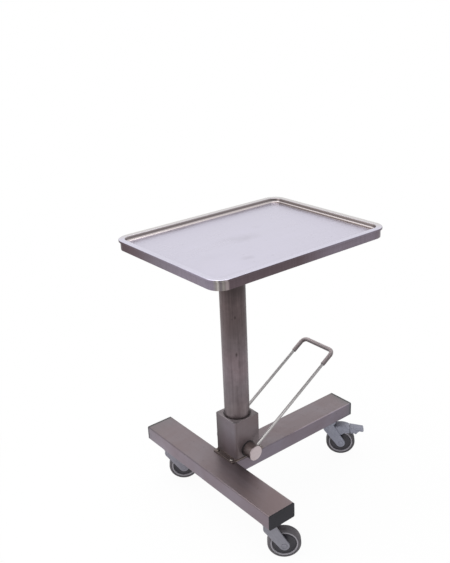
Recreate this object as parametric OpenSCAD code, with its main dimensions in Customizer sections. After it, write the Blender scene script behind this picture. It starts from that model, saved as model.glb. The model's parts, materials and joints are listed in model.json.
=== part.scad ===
// Hydraulic instrument table on a T base: foot pump, telescopic column, lift-off tray.
// Built about the column axis, with the floor at height zero and the stem along +X,
// then shifted so that the origin lies on the floor under the middle of the overall box.

/* [Base] */
// Width of the two base tubes
tube_w = 100; // [80:1:110]
// Height of the two base tubes
tube_h = 50; // [40:1:60]
// Wall thickness of the base tubes
tube_wall = 3; // [2:0.5:4]
// Outside corner radius of the base tubes
tube_r = 4.5; // [4:0.5:8]
// Overall length of the cross tube with its end plugs
cross_len = 640; // [560:5:760]
// Distance of the cross tube's middle behind the column axis
cross_back = 100; // [96:1:120]
// Reach of the stem from the column axis, end plug included
stem_reach = 490; // [460:5:600]
// Thickness of an end plug's face
plug_t = 3; // [2:0.5:5]
// Depth of the plug's skirt inside the tube
plug_skirt = 18; // [10:1:30]
// Wall thickness of the plug's skirt and ribs
plug_wall = 2; // [1.5:0.5:3]

/* [Pump housing] */
// Outside width of the square pump housing
block_w = 100; // [100:1:110]
// Wall thickness of the pump housing
block_wall = 3; // [2.5:0.5:4]
// Outside corner radius of the pump housing
block_r = 5; // [4.5:0.5:8]
// Height of the housing's top above the base tubes
block_h = 142; // [138:1:180]
// Thickness of the housing's collar plate
collar_t = 10; // [8:1:14]
// Width of the gap round the column that the seal fills
seal_w = 3.5; // [3:0.25:4]
// Height of the seal
seal_h = 6; // [4:0.5:7]
// Depth of the seal's top below the housing's top
seal_drop = 1.5; // [0.5:0.25:2]
// Width of the foot plate
foot_w = 100; // [92:1:100]
// Thickness of the foot plate
foot_t = 4; // [3:0.5:6]
// Distance of the foot screws from the edge of the tube below them
foot_bolt_in = 9; // [8.5:0.5:10]
// Margin of the foot plate round the screws' middles
foot_margin = 8; // [7.5:0.5:14]
// Distance of the foot screws from the column axis, across the stem
foot_bolt_y = 36; // [28:1:40]
// Thread diameter of the foot and head screws
bolt_d = 8; // [6:1:8]
// Outside width of the pump body
pump_w = 90; // [88:0.5:90]
// Height of the pump body
pump_h = 50; // [48:1:54]

/* [Column] */
// Outside diameter of the fixed outer tube
col_d = 82; // [80:0.5:84]
// Wall thickness of the outer tube
col_wall = 3; // [2:0.5:3.5]
// Gap between the outer tube's top and the head plate, column lowered
head_gap = 16.8; // [15:0.2:30]
// Thickness of the guide bush's flange on top of the outer tube
top_ring_t = 8; // [5:0.5:10]
// Outside diameter of the rising mast
mast_d = 70; // [66:0.5:72]
// Wall thickness of the mast
mast_wall = 3; // [2:0.5:4]
// Length of the two slide bushes
bush_l = 40; // [25:1:50]
// Outside diameter of the hydraulic cylinder
cyl_d = 50; // [46:0.5:52]
// Bore of the hydraulic cylinder
cyl_bore = 40; // [36:0.5:42]
// Distance of the cylinder's top below the thrust washer, column lowered
cyl_gap = 36.8; // [25:0.2:80]
// Diameter of the piston rod
rod_d = 30; // [20:0.5:32]
// Length of the piston
piston_l = 25; // [15:1:40]
// Diameter of the rod's top spigot
spigot_d = 16; // [12:0.5:18]
// Thickness of the head plate
head_t = 6; // [5:0.5:8]
// Length of the head plate along the rails
head_l = 150; // [140:1:180]
// Width of the head plate across the rails
head_w = 116; // [112:1:130]
// Length of the plug in the mast's head
head_plug_l = 20; // [15:1:30]

/* [Foot pedal] */
// Height of the pedal shaft above the base tubes
shaft_z = 30; // [29:0.5:31]
// Diameter of the pedal shaft
shaft_d = 18; // [14:0.5:20]
// Angle of the raised pedal above the floor
pedal_angle = 31.8; // [28:0.1:36]
// Downward swing of the pedal
pedal_swing = 26; // [20:0.5:27]
// Distance from the pedal shaft to the middle of the crossbar
pedal_reach = 436; // [380:1:480]
// Distance between the middles of the two legs
pedal_gauge = 140; // [136:1:150]
// Diameter of the bent bar
bar_d = 10; // [8:0.5:12]
// Outside diameter of the foot sleeve
sleeve_d = 15; // [14:0.5:18]
// Bend radius of the bar's middle line
bend_r = 18; // [15:0.5:30]
// Stretch of each leg that the sleeve covers, from the crossbar's middle
sleeve_leg = 60; // [40:1:80]
// Diameter of the two hubs
hub_d = 50; // [44:0.5:52]
// Length of the near hub without its cap
hub_l = 33; // [30:0.5:38]
// Length of the far hub without its cap
far_hub_l = 27; // [25:0.5:38]
// Thickness of the hub caps
hub_cap_t = 3; // [2:0.5:5]
// Thickness of the shaft bushes' outer flanges
shaft_flange_t = 3; // [2:0.5:4]
// Reach of the cam from the shaft to its nose
cam_reach = 38; // [36:0.5:38]
// Radius of the cam's nose
cam_nose_r = 7; // [6:0.5:7]
// Diameter of the pump plunger
plunger_d = 10; // [8:0.5:10]
// Length of the pump plunger
plunger_l = 50; // [45:1:54]
// Height of the pump barrel above the pump body
barrel_l = 58; // [54:1:60]
// Outside diameter of the pump barrel
barrel_d = 16; // [14:0.5:16]

/* [Tray and frame] */
// Height of the tray's rim above the floor, column lowered
table_h = 942; // [930:1:955]
// Length of the tray
tray_l = 660; // [560:5:720]
// Width of the tray
tray_w = 510; // [420:5:560]
// Distance from the column axis to the tray's middle, along the stem
tray_offset = 80; // [0:1:120]
// Outside corner radius of the tray's rim
tray_r = 48; // [40:1:70]
// Thickness of the tray's sheet
sheet_t = 1.2; // [1:0.1:1.6]
// Width of the tray's flat rim
rim_w = 20; // [16:0.5:26]
// Depth of the tray's floor below its rim
tray_depth = 14; // [12:0.5:18]
// Radius of the cove along the tray's floor
cove_r = 6; // [4:0.5:8]
// Radius of the rim's two rounded edges
edge_r = 2.5; // [2:0.1:3]
// Draft of the tray's inner wall
tray_draft = 2; // [1:0.5:4]
// Depth of the rim's down-turned lip
lip_h = 6; // [5:0.5:8]
// Overhang of the rim beyond the frame
overhang = 5; // [4:0.5:8]
// Height of the frame's band
band_h = 30; // [24:1:36]
// Thickness of the frame's sheet
band_t = 2; // [1.5:0.5:3]
// Width of the two rails
rail_w = 30; // [25:1:32]
// Height of the two rails
rail_h = 13; // [10:0.5:14]
// Wall thickness of the rails
rail_wall = 1.5; // [1:0.5:2]
// Distance of each rail's middle from the column axis
rail_y = 40; // [38:1:44]

/* [Casters] */
// Height of a caster from the floor to the tube
caster_h = 154; // [152:1:164]
// Diameter of the wheels
wheel_d = 104; // [98:1:106]
// Width of the tyres
tyre_w = 30; // [24:1:30]
// Corner radius of the tyres
tyre_edge = 7; // [5:0.5:8]
// Outside radius of the wheel's pale rim
rim_r = 43; // [40:0.5:44]
// Diameter of the wheel axles
axle_d = 10; // [8:0.5:12]
// Distance of a wheel's axle behind its swivel axis
trail = 44; // [38:1:48]
// Distance of the cross tube's casters from its ends
cross_inset = 58; // [50:1:80]
// Distance of the stem's caster from the stem's end
stem_inset = 64; // [45:1:80]
// Heading of the front caster's axle, as photographed
front_turn = 50; // [0:1:360]
// Heading of the rear caster's axle, as photographed
rear_turn = 55; // [0:1:360]
// Heading of the braked caster's axle, as photographed
braked_turn = 45; // [0:1:360]
// Gap between the inner faces of the fork arms
fork_gap = 34; // [33:0.5:36]
// Thickness of a fork arm
arm_t = 7; // [5:0.5:8]
// Radius of the fork arm round the axle
boss_r = 15.5; // [14:0.5:17]
// Radius of the fork's crown at its widest
crown_r = 28; // [25:0.5:30]
// Height of the crown's top above the floor
crown_top = 142; // [140:0.5:144]
// Height of the crown's underside above the floor
crown_bottom = 114; // [112:0.5:116]
// Diameter of the swivel stem inside the crown
stem_d = 16; // [14:0.5:18]
// Thread diameter of the stem's top
stem_thread_d = 12; // [10:1:14]
// Radius of the hood over the braked wheel, from the axle
hood_r = 69; // [68:0.5:72]
// Thickness of the hood's roof
hood_t = 3.5; // [3:0.25:4]
// Distance from the swivel axis to the hood's end
hood_end = 76; // [74:0.5:78]
// Reach of the brake pedal from the swivel axis
brake_reach = 127; // [118:1:135]
// Width of the brake pedal and its hood
brake_w = 40; // [40:0.5:44]
// Downward slope of the brake pedal
brake_slope = 9.5; // [6:0.5:12]
// Thickness of the brake pedal at its tip
brake_t = 5; // [4:0.5:7]

/* [Fits] */
// Radial clearance of running and slip fits
run_gap = 0.05; // [0.02:0.01:0.1]
// Gap between moving faces that don't touch
face_gap = 0.3; // [0.2:0.05:0.5]

/* [Hidden] */
$fn = 64;

// Colours as photographed
steel = "#8a8287";
dark_steel = "#6e6668";
bright_steel = "#c9c6cc";
tray_steel = "#d3d1da";
chrome = "#b9b9bd";
bronze = "#a8824c";
black_plastic = "#2f2e33";
grey_plastic = "#8a8a96";
wheel_grey = "#4a4852";
rim_grey = "#a9a9ab";
tyre_grey = "#4c4b49";

// Heights above the floor
deck_z = caster_h + tube_h;
block_top = deck_z + block_h;
foot_top = deck_z + foot_t;
collar_z = block_top - collar_t;
pump_top = foot_top + pump_h;
axis_z = deck_z + shaft_z;
frame_top = table_h - sheet_t;
frame_z = frame_top - band_h;
head_z = frame_z - head_t;
plug_z = head_z - head_plug_l;
col_z1 = head_z - head_gap;

// Radii of the column's nested parts
col_r = col_d/2;
col_bore_r = col_r - col_wall;
mast_r = mast_d/2;
mast_bore_r = mast_r - mast_wall;
rod_r = rod_d/2;

// Lengths of the column's nested parts
thrust_t = 4;
thrust_r = 24;
gland_flange = 8;
gland_spigot = 18;
piston_rest = 6;
piston_z = pump_top + piston_rest;
shoulder_z = plug_z - thrust_t;
cyl_z1 = shoulder_z - cyl_gap;
mast_lift = 8;
mast_z = pump_top + mast_lift;
mast_bush_lift = 2;

// Foot and head screws
bolt_r = bolt_d/2;
bolt_head_r = 0.8*bolt_d;
bolt_head_h = 0.5*bolt_d;
bolt_socket_r = 0.3*bolt_d;
foot_bolt_l = 18;
foot_bolt_gap = 0.5;
foot_bolt_x = max(cross_back - tube_w/2 + foot_bolt_in, block_w/2 + bolt_head_r + foot_bolt_gap);
foot_l = 2*(foot_bolt_x + foot_margin);
head_bolt_x = 60;

// Pump drive
shaft_r = shaft_d/2;
hub_r = hub_d/2;
flange_face = block_w/2 + shaft_flange_t;
hub_face = flange_face + face_gap;
near_cap_y = hub_face + hub_l;
far_cap_y = hub_face + far_hub_l;
bush_r = shaft_r + 3;
shaft_flange_r = hub_r + 2;
leg_y = pedal_gauge/2;
leg_start = shaft_r + 3;
cam_tilt = pedal_swing/2;
cam_w = 12;
cam_hub_r = shaft_r + 5;
cam_arm_r = 4;
cam_bay_gap = 2;
cam_x = -cam_reach*cos(cam_tilt);
cam_y = cam_x;
cam_nose_z = axis_z - cam_reach*sin(cam_tilt);
plunger_z = cam_nose_z + cam_nose_r + face_gap;
plunger_r = plunger_d/2;
barrel_z1 = pump_top + barrel_l;
barrel_cap = 5;
spring_r = plunger_r - 0.4;
spring_wall = 1.2;

// Tray frame
frame_l = tray_l - 2*overhang;
frame_w = tray_w - 2*overhang;
frame_r = tray_r - overhang;
ledge_w = rim_w - edge_r - overhang - face_gap;

// Casters
wheel_r = wheel_d/2;
axle_r = axle_d/2;
arm_out = fork_gap/2 + arm_t;
stem_r = stem_d/2;
thread_r = stem_thread_d/2;
nut_h = 10;
nut_r = 1.1*stem_thread_d*0.9;
cup_r = 18;
stem_foot_r = 12;
stem_foot_h = 3;
crown_neck_r = 21;
arm_top_z = crown_bottom + 3;
arm_top_r = 19.5;
rim_half = tyre_w/2 - 1;
guard_out = rim_half - 1.5;
hub_seat_r = 11;

// Brake: distances from the swivel axis, heights from the floor, turns about the axle
brake_half = brake_w/2;
brake_edge = 4;
brake_tip_r = 8;
axle_at = [trail, wheel_r];
brake_pin_r = 2.5;
brake_pin_out = wheel_r + 8;
brake_pin_turn = 68.5;
brake_pin_at = axle_at + brake_pin_out*[cos(brake_pin_turn), sin(brake_pin_turn)];
brake_boss_r = 5;
brake_swing = 10;
shoe_t = 4;
shoe_from = 44;
shoe_to = 60;
hood_in_r = hood_r - hood_t;
hood_gap = fork_gap + 0.5;
hood_start = crown_neck_r - 5;
skirt_z = wheel_r + 41;
pad_u = hood_end + 1.2;
pad_top_z = wheel_r + sqrt(hood_r*hood_r - (hood_end - trail)*(hood_end - trail));

// Swivel axes of the three casters
front_at = [-cross_back, -(cross_len/2 - cross_inset)];
rear_at = [-cross_back, cross_len/2 - cross_inset];
braked_at = [stem_reach - stem_inset, 0];

// Overall box at rest, which sets the origin
function wheel_out(turn) =
    (trail + wheel_r - tyre_edge)*cos(turn) + (tyre_w/2 - tyre_edge)*sin(turn) + tyre_edge;
box_x0 = min(tray_offset - tray_l/2, -cross_back - tube_w/2);
box_x1 = max(stem_reach, tray_offset + tray_l/2,
    braked_at.x + (brake_reach - brake_tip_r)*sin(braked_turn) + (brake_half - brake_tip_r)*cos(braked_turn)
        + brake_tip_r);
box_y0 = min(-cross_len/2, front_at.y - wheel_out(front_turn));
box_y1 = max(cross_len/2, tray_w/2);
mid_x = (box_x0 + box_x1)/2;
mid_y = (box_y0 + box_y1)/2;

// Shared shapes

// Moves a piece from the column frame to the part's origin
module placed() {
    translate([-mid_x, -mid_y, 0]) children();
}

// A rectangle with true round corners
module rounded_rect(w, h, r) {
    square([w - 2*r, h], center = true);
    square([w, h - 2*r], center = true);
    for (x = [-1, 1], y = [-1, 1])
        translate([x*(w/2 - r), y*(h/2 - r)]) circle(r);
}

// The outline of a tube's wall, its inner corners never sharper than 0.5
module tube_section(w, h, wall, r) {
    difference() {
        rounded_rect(w, h, r);
        rounded_rect(w - 2*wall, h - 2*wall, max(r - wall, 0.5));
    }
}

// A ring or sleeve standing on z = 0
module ring(r_out, r_in, h) {
    difference() {
        cylinder(h = h, r = r_out);
        translate([0, 0, -1]) cylinder(h = h + 2, r = r_in);
    }
}

// A strap round two circles in a plane: their common tangents and both ends
module strap(p1, r1, p2, r2) {
    d = p2 - p1;
    a = atan2(d.y, d.x);
    b = acos((r1 - r2)/norm(d));
    polygon([
        p1 + r1*[cos(a + b), sin(a + b)], p1 + r1*[cos(a - b), sin(a - b)],
        p2 + r2*[cos(a - b), sin(a - b)], p2 + r2*[cos(a + b), sin(a + b)]]);
    translate(p1) circle(r1);
    translate(p2) circle(r2);
}

// Points of an arc round c, from angle a0 to a1
function arc(c, r, a0, a1, steps = 5) =
    [for (i = [0:steps]) c + r*[cos(a0 + (a1 - a0)*i/steps), sin(a0 + (a1 - a0)*i/steps)]];

// Extrudes an upright outline, drawn in X and Z, by w centred on Y
module across(w) {
    rotate([90, 0, 0]) linear_extrude(w, center = true) children();
}

// A button-head screw with a hex socket, its head on z = 0 and its shank below
module button_screw(shank) {
    difference() {
        union() {
            rotate_extrude() intersection() {
                translate([0, bolt_head_h - 1.6*bolt_head_r]) circle(1.6*bolt_head_r);
                square([bolt_head_r, bolt_head_h]);
            }
            translate([0, 0, -shank]) cylinder(h = shank + 0.5, r = bolt_r);
        }
        translate([0, 0, bolt_head_h*0.4]) cylinder(h = bolt_head_h, r = bolt_socket_r, $fn = 6);
    }
}

// Base

module cross_tube() {
    color(steel) placed() difference() {
        translate([-cross_back, 0, caster_h + tube_h/2])
            across(cross_len - 2*plug_t) tube_section(tube_w, tube_h, tube_wall, tube_r);
        for (at = [front_at, rear_at])
            translate([at.x, at.y, caster_h - 1]) cylinder(h = tube_wall + 2, r = thread_r + run_gap);
        for (y = [-1, 1])
            translate([-foot_bolt_x, y*foot_bolt_y, deck_z - tube_wall - 1])
                cylinder(h = tube_wall + 2, r = bolt_r + run_gap);
    }
}

module stem_tube() {
    stem_x0 = tube_w/2 - cross_back;
    color(steel) placed() difference() {
        translate([stem_x0, 0, caster_h + tube_h/2]) rotate([90, 0, 90])
            linear_extrude(stem_reach - plug_t - stem_x0) tube_section(tube_w, tube_h, tube_wall, tube_r);
        translate([braked_at.x, 0, caster_h - 1]) cylinder(h = tube_wall + 2, r = thread_r + run_gap);
        for (y = [-1, 1])
            translate([foot_bolt_x, y*foot_bolt_y, deck_z - tube_wall - 1])
                cylinder(h = tube_wall + 2, r = bolt_r + run_gap);
    }
}

// One end plug, its face on the plane x = 0 and its skirt towards -X
module plug() {
    slip = 2*tube_wall + 4*run_gap;
    rotate([90, 0, -90]) {
        linear_extrude(plug_t) rounded_rect(tube_w, tube_h, tube_r);
        translate([0, 0, plug_t]) linear_extrude(plug_skirt) {
            tube_section(tube_w - slip, tube_h - slip, plug_wall, max(tube_r - slip/2, 0.8));
            for (x = [-1, 0, 1])
                translate([x*tube_w/4, 0]) square([plug_wall, tube_h - slip - plug_wall], center = true);
        }
    }
}

module end_plugs() {
    color(black_plastic) placed() translate([0, 0, caster_h + tube_h/2]) {
        translate([stem_reach, 0, 0]) plug();
        for (y = [-1, 1])
            translate([-cross_back, y*cross_len/2, 0]) rotate([0, 0, y*90]) plug();
    }
}

// Pump housing

module foot_plate() {
    color(dark_steel) placed() translate([0, 0, deck_z]) difference() {
        linear_extrude(foot_t) rounded_rect(foot_l, foot_w, 4);
        for (x = [-1, 1], y = [-1, 1])
            translate([x*foot_bolt_x, y*foot_bolt_y, -1]) cylinder(h = foot_t + 2, r = bolt_r + run_gap);
    }
}

module foot_screws() {
    color(bright_steel) placed()
        for (x = [-1, 1], y = [-1, 1])
            translate([x*foot_bolt_x, y*foot_bolt_y, foot_top]) button_screw(foot_bolt_l);
}

module pump_housing() {
    color(steel) placed() difference() {
        translate([0, 0, foot_top]) linear_extrude(collar_z - foot_top)
            tube_section(block_w, block_w, block_wall, block_r);
        translate([0, 0, axis_z]) rotate([90, 0, 0])
            cylinder(h = block_w + 2, r = bush_r + run_gap, center = true);
    }
}

module housing_collar() {
    recess = seal_h + seal_drop;
    color(steel) placed() translate([0, 0, collar_z]) difference() {
        linear_extrude(collar_t) rounded_rect(block_w, block_w, block_r);
        translate([0, 0, -1]) cylinder(h = collar_t + 2, r = col_r + run_gap);
        translate([0, 0, collar_t - recess]) cylinder(h = recess + 1, r = col_r + seal_w);
    }
}

module collar_seal() {
    color(black_plastic) placed() translate([0, 0, block_top - seal_h - seal_drop])
        ring(col_r + seal_w, col_r, seal_h);
}

module pump_body() {
    bay_r = cam_hub_r + cam_bay_gap;
    bay_y = cam_y + cam_w/2 + cam_bay_gap;
    color(dark_steel) placed() difference() {
        translate([0, 0, foot_top]) linear_extrude(pump_h) rounded_rect(pump_w, pump_w, block_r - 1);
        translate([0, 0, axis_z]) rotate([90, 0, 0])
            cylinder(h = pump_w + 2, r = shaft_r + run_gap, center = true);
        translate([-pump_w/2 - 1, -pump_w/2 - 1, axis_z - bay_r])
            cube([pump_w/2 + 1 + bay_r, pump_w/2 + 1 + bay_y, 2*bay_r]);
        translate([cam_x, cam_y, axis_z]) cylinder(h = pump_h, r = plunger_r + run_gap);
    }
}

module shaft_bushes() {
    color(black_plastic) placed() for (y = [-1, 1]) scale([1, y, 1])
        translate([0, -block_w/2 + block_wall, axis_z]) rotate([90, 0, 0]) difference() {
            union() {
                cylinder(h = block_wall + shaft_flange_t, r = bush_r);
                translate([0, 0, block_wall]) cylinder(h = shaft_flange_t, r = shaft_flange_r);
            }
            translate([0, 0, -1]) cylinder(h = block_wall + shaft_flange_t + 2, r = shaft_r + run_gap);
        }
}

module pump_barrel() {
    color(dark_steel) placed() translate([cam_x, cam_y, pump_top]) difference() {
        cylinder(h = barrel_l, r = barrel_d/2);
        translate([0, 0, -1]) cylinder(h = barrel_l - barrel_cap + 1, r = plunger_r + run_gap);
    }
}

module pump_plunger() {
    color(chrome) placed() translate([cam_x, cam_y, plunger_z]) cylinder(h = plunger_l, r = plunger_r);
}

module plunger_spring() {
    spring_z = plunger_z + plunger_l;
    color(chrome) placed() translate([cam_x, cam_y, spring_z])
        ring(spring_r, spring_r - spring_wall, barrel_z1 - barrel_cap - spring_z);
}

// Column

module column_tube() {
    color(dark_steel) placed() translate([0, 0, pump_top]) ring(col_r, col_bore_r, col_z1 - pump_top);
}

// The guide bush in the outer tube's top, with a flange that caps the tube
module column_bush() {
    wipe_r = mast_r + 3;
    edge = 1.5;
    color(black_plastic) placed() translate([0, 0, col_z1]) rotate_extrude() polygon([
        [mast_r + run_gap, -bush_l], [col_bore_r - run_gap, -bush_l], [col_bore_r - run_gap, 0], [col_r, 0],
        [col_r, top_ring_t - edge], [col_r - edge, top_ring_t], [wipe_r, top_ring_t],
        [mast_r + run_gap, top_ring_t - 2]]);
}

module hydraulic_cylinder() {
    color(dark_steel) placed() translate([0, 0, pump_top])
        ring(cyl_d/2, cyl_bore/2, cyl_z1 - gland_flange - pump_top);
}

module cylinder_gland() {
    seat_z = cyl_z1 - gland_flange;
    color(dark_steel) placed() translate([0, 0, seat_z]) rotate_extrude() polygon([
        [rod_r + run_gap, -gland_spigot], [cyl_bore/2, -gland_spigot], [cyl_bore/2, 0], [cyl_d/2, 0],
        [cyl_d/2, gland_flange], [rod_r + run_gap, gland_flange]]);
}

module piston() {
    color(dark_steel) placed() translate([0, 0, piston_z]) cylinder(h = piston_l, r = cyl_bore/2 - run_gap);
}

module piston_rod() {
    color(chrome) placed() translate([0, 0, piston_z + piston_l]) {
        cylinder(h = shoulder_z - piston_z - piston_l, r = rod_r);
        cylinder(h = plug_z + head_plug_l - piston_z - piston_l - face_gap, r = spigot_d/2);
    }
}

module thrust_washer() {
    color(bronze) placed() translate([0, 0, shoulder_z]) ring(thrust_r, spigot_d/2 + run_gap, thrust_t);
}

module mast_tube() {
    color(chrome) placed() translate([0, 0, mast_z]) ring(mast_r, mast_bore_r, head_z - mast_z);
}

// The slide bush on the mast's foot, clipped over the tube's end
module mast_bush() {
    color(black_plastic) placed() translate([0, 0, mast_z + mast_bush_lift])
        ring(col_bore_r - run_gap, mast_r, bush_l);
}

module head_plug() {
    color(dark_steel) placed() translate([0, 0, plug_z]) ring(mast_bore_r, spigot_d/2 + run_gap, head_plug_l);
}

module head_plate() {
    color(steel) placed() translate([0, 0, head_z]) difference() {
        linear_extrude(head_t) rounded_rect(head_l, head_w, 10);
        for (x = [-1, 1], y = [-1, 1])
            translate([x*head_bolt_x, y*rail_y, -1]) cylinder(h = head_t + 2, r = bolt_r + run_gap);
    }
}

module head_screws() {
    color(bright_steel) placed() for (x = [-1, 1], y = [-1, 1])
        translate([x*head_bolt_x, y*rail_y, head_z]) rotate([180, 0, 0])
            button_screw(head_t + rail_h - rail_wall - face_gap);
}

module tray_rails() {
    rail_l = frame_l - 2*band_t;
    color(steel) placed() for (y = [-1, 1]) difference() {
        translate([tray_offset - rail_l/2, y*rail_y, frame_z + rail_h/2]) rotate([90, 0, 90])
            linear_extrude(rail_l) tube_section(rail_w, rail_h, rail_wall, 3);
        for (x = [-1, 1])
            translate([x*head_bolt_x, y*rail_y, frame_z - 1]) cylinder(h = rail_wall + 2, r = bolt_r + run_gap);
    }
}

module tray_frame() {
    color(dark_steel) placed() translate([tray_offset, 0, frame_z]) difference() {
        linear_extrude(band_h) rounded_rect(frame_l, frame_w, frame_r);
        translate([0, 0, -1]) linear_extrude(band_h - band_t + 1)
            rounded_rect(frame_l - 2*band_t, frame_w - 2*band_t, frame_r - band_t);
        translate([0, 0, -1]) linear_extrude(band_h + 2)
            rounded_rect(frame_l - 2*ledge_w, frame_w - 2*ledge_w, frame_r - ledge_w);
    }
}

// Tray

// Upper face of the pressed sheet from the lip to the floor: x runs outwards from the corner's centre
function tray_top_path(t) = let (
        e = edge_r - t,
        c = cove_r + t,
        wall_x = tray_r - rim_w + t,
        foot_x = wall_x - tray_draft)
    concat(
        [[tray_r - t, -lip_h]],
        arc([tray_r - edge_r, -edge_r], e, 0, 90),
        arc([wall_x + e, -edge_r], e, 90, 180),
        arc([foot_x - c, -tray_depth - t + c], c, 0, -90),
        [[0, -tray_depth - t]]);

function reversed(list) = [for (i = [len(list) - 1:-1:0]) list[i]];

module tray_section() {
    polygon(concat(tray_top_path(0), reversed(tray_top_path(sheet_t))));
}

module tray_pan() {
    in_l = tray_l - 2*tray_r;
    in_w = tray_w - 2*tray_r;
    color(tray_steel) placed() translate([tray_offset, 0, table_h]) {
        for (corner = [[1, 1, 0], [-1, 1, 90], [-1, -1, 180], [1, -1, 270]])
            translate([corner.x*in_l/2, corner.y*in_w/2, 0]) rotate([0, 0, corner.z])
                rotate_extrude(angle = 90) tray_section();
        for (turn = [0, 180]) rotate([0, 0, turn]) {
            translate([in_l/2, in_w/2, 0]) rotate([90, 0, 0]) linear_extrude(in_w) tray_section();
            translate([-in_l/2, in_w/2, 0]) rotate([90, 0, 90]) linear_extrude(in_l) tray_section();
        }
        translate([0, 0, -tray_depth - sheet_t/2]) cube([in_l, in_w, sheet_t], center = true);
    }
}

// Foot pedal: drawn flat along +X from the shaft, then raised by its angle
module raised() {
    placed() translate([0, 0, axis_z]) rotate([0, -pedal_angle, 0]) children();
}

// A U of round bar or tube, its legs starting at from and its bends of radius bend_r
module bent_u(r, from) {
    leg = pedal_reach - bend_r;
    span = leg_y - bend_r;
    for (y = [-1, 1]) scale([1, y, 1]) {
        translate([from, leg_y, 0]) rotate([0, 90, 0]) cylinder(h = leg - from, r = r);
        translate([leg, span, 0]) rotate_extrude(angle = 90) translate([bend_r, 0]) circle(r);
    }
    translate([pedal_reach, 0, 0]) rotate([90, 0, 0]) cylinder(h = 2*span, r = r, center = true);
}

module pedal_shaft() {
    color(dark_steel) placed() translate([0, far_cap_y, axis_z]) rotate([90, 0, 0])
        cylinder(h = far_cap_y + near_cap_y, r = shaft_r);
}

module pedal_hubs() {
    color(dark_steel) raised() for (side = [[-1, hub_l], [1, far_hub_l]]) scale([1, side.x, 1]) difference() {
        translate([0, hub_face + side.y, 0]) rotate([90, 0, 0]) cylinder(h = side.y, r = hub_r);
        translate([0, hub_face + side.y + 1, 0]) rotate([90, 0, 0])
            cylinder(h = side.y + 2, r = shaft_r + run_gap);
        translate([leg_start - face_gap, leg_y, 0]) rotate([0, 90, 0]) cylinder(h = hub_r, r = bar_d/2 + run_gap);
    }
}

module hub_caps() {
    color(bright_steel) raised() for (side = [[-1, near_cap_y], [1, far_cap_y]]) scale([1, side.x, 1])
        translate([0, side.y, 0]) rotate([-90, 0, 0]) {
            cylinder(h = hub_cap_t - 1, r = hub_r);
            translate([0, 0, hub_cap_t - 1]) cylinder(h = 1, r1 = hub_r, r2 = hub_r - 1);
        }
}

module pedal_cam() {
    color(dark_steel) placed() translate([0, cam_y, axis_z]) difference() {
        across(cam_w) {
            circle(cam_hub_r);
            strap([0, 0], shaft_r, [cam_x, cam_nose_z - axis_z], cam_arm_r);
            translate([cam_x, cam_nose_z - axis_z]) circle(cam_nose_r);
        }
        rotate([90, 0, 0]) cylinder(h = cam_w + 2, r = shaft_r + run_gap, center = true);
    }
}

module pedal_bar() {
    color(bright_steel) raised() bent_u(bar_d/2, leg_start);
}

module foot_sleeve() {
    start = pedal_reach - sleeve_leg;
    color(dark_steel) raised() difference() {
        bent_u(sleeve_d/2, start);
        bent_u(bar_d/2 + run_gap, start - 1);
    }
}

// Casters: drawn with the swivel axis at x = y = 0, the wheel trailing along +X and its axle along Y

module caster(at, turn) {
    placed() translate([at.x, at.y, 0]) rotate([0, 0, turn - 90]) children();
}

// Turns a shape of revolution round Z into one round the axle
module on_axle() {
    translate([trail, 0, wheel_r]) rotate([90, 0, 0]) children();
}

module caster_stem() {
    difference() {
        union() {
            translate([0, 0, crown_bottom - stem_foot_h - face_gap]) cylinder(h = stem_foot_h, r = stem_foot_r);
            translate([0, 0, crown_bottom - stem_foot_h - face_gap])
                cylinder(h = caster_h - crown_bottom + stem_foot_h + face_gap, r = stem_r);
            translate([0, 0, crown_top + face_gap]) cylinder(h = caster_h - crown_top - face_gap, r = cup_r);
            translate([0, 0, caster_h - 1]) cylinder(h = tube_wall + nut_h + 3, r = thread_r);
        }
        translate([0, 0, crown_bottom - stem_foot_h - 2]) cylinder(h = 4, r = thread_r/2, $fn = 6);
    }
}

// Side outline of a fork arm, from the crown to the axle
module arm_outline() {
    strap([0, arm_top_z], arm_top_r, [trail, wheel_r], boss_r);
}

module fork_arms() {
    for (side = [-1, 1])
        translate([0, side*(fork_gap + arm_t)/2, 0]) across(arm_t) arm_outline();
}

module fork_crown() {
    round_r = 5;
    rotate_extrude() polygon(concat(
        [[0, crown_bottom], [crown_neck_r, crown_bottom]],
        [[crown_r, crown_top - 12]],
        arc([crown_r - round_r, crown_top - round_r], round_r, 0, 90),
        [[0, crown_top]]));
}

module fork_bores() {
    translate([0, 0, crown_bottom - 5]) cylinder(h = crown_top, r = stem_r + run_gap);
    on_axle() cylinder(h = 4*arm_out, r = axle_r + run_gap, center = true);
    for (side = [-1, 1])
        translate([trail, side*arm_out, wheel_r]) rotate([90, 0, 0])
            cylinder(h = 3, r = axle_r + 3.5, center = true);
}

module fork() {
    difference() {
        union() {
            fork_crown();
            fork_arms();
        }
        fork_bores();
    }
}

module axle() {
    on_axle() {
        cylinder(h = 2*arm_out - 2, r = axle_r, center = true);
        for (side = [-1, 1]) scale([1, 1, side]) translate([0, 0, arm_out - 1.5]) {
            cylinder(h = 1.5, r = axle_r + 3);
            translate([0, 0, 1.5]) cylinder(h = 0.8, r1 = axle_r + 3, r2 = axle_r + 2);
        }
    }
}

module wheel_rim() {
    half = rim_half;
    web = 4;
    seat = hub_seat_r;
    hub_half = (half + fork_gap/2)/2;
    on_axle() rotate_extrude() polygon([
        [axle_r + run_gap, -hub_half], [seat, -hub_half], [seat, -web], [rim_r - 6, -web], [rim_r - 5, -half],
        [rim_r, -half], [rim_r, half], [rim_r - 5, half], [rim_r - 6, web], [seat, web],
        [seat, hub_half], [axle_r + run_gap, hub_half]]);
}

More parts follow.
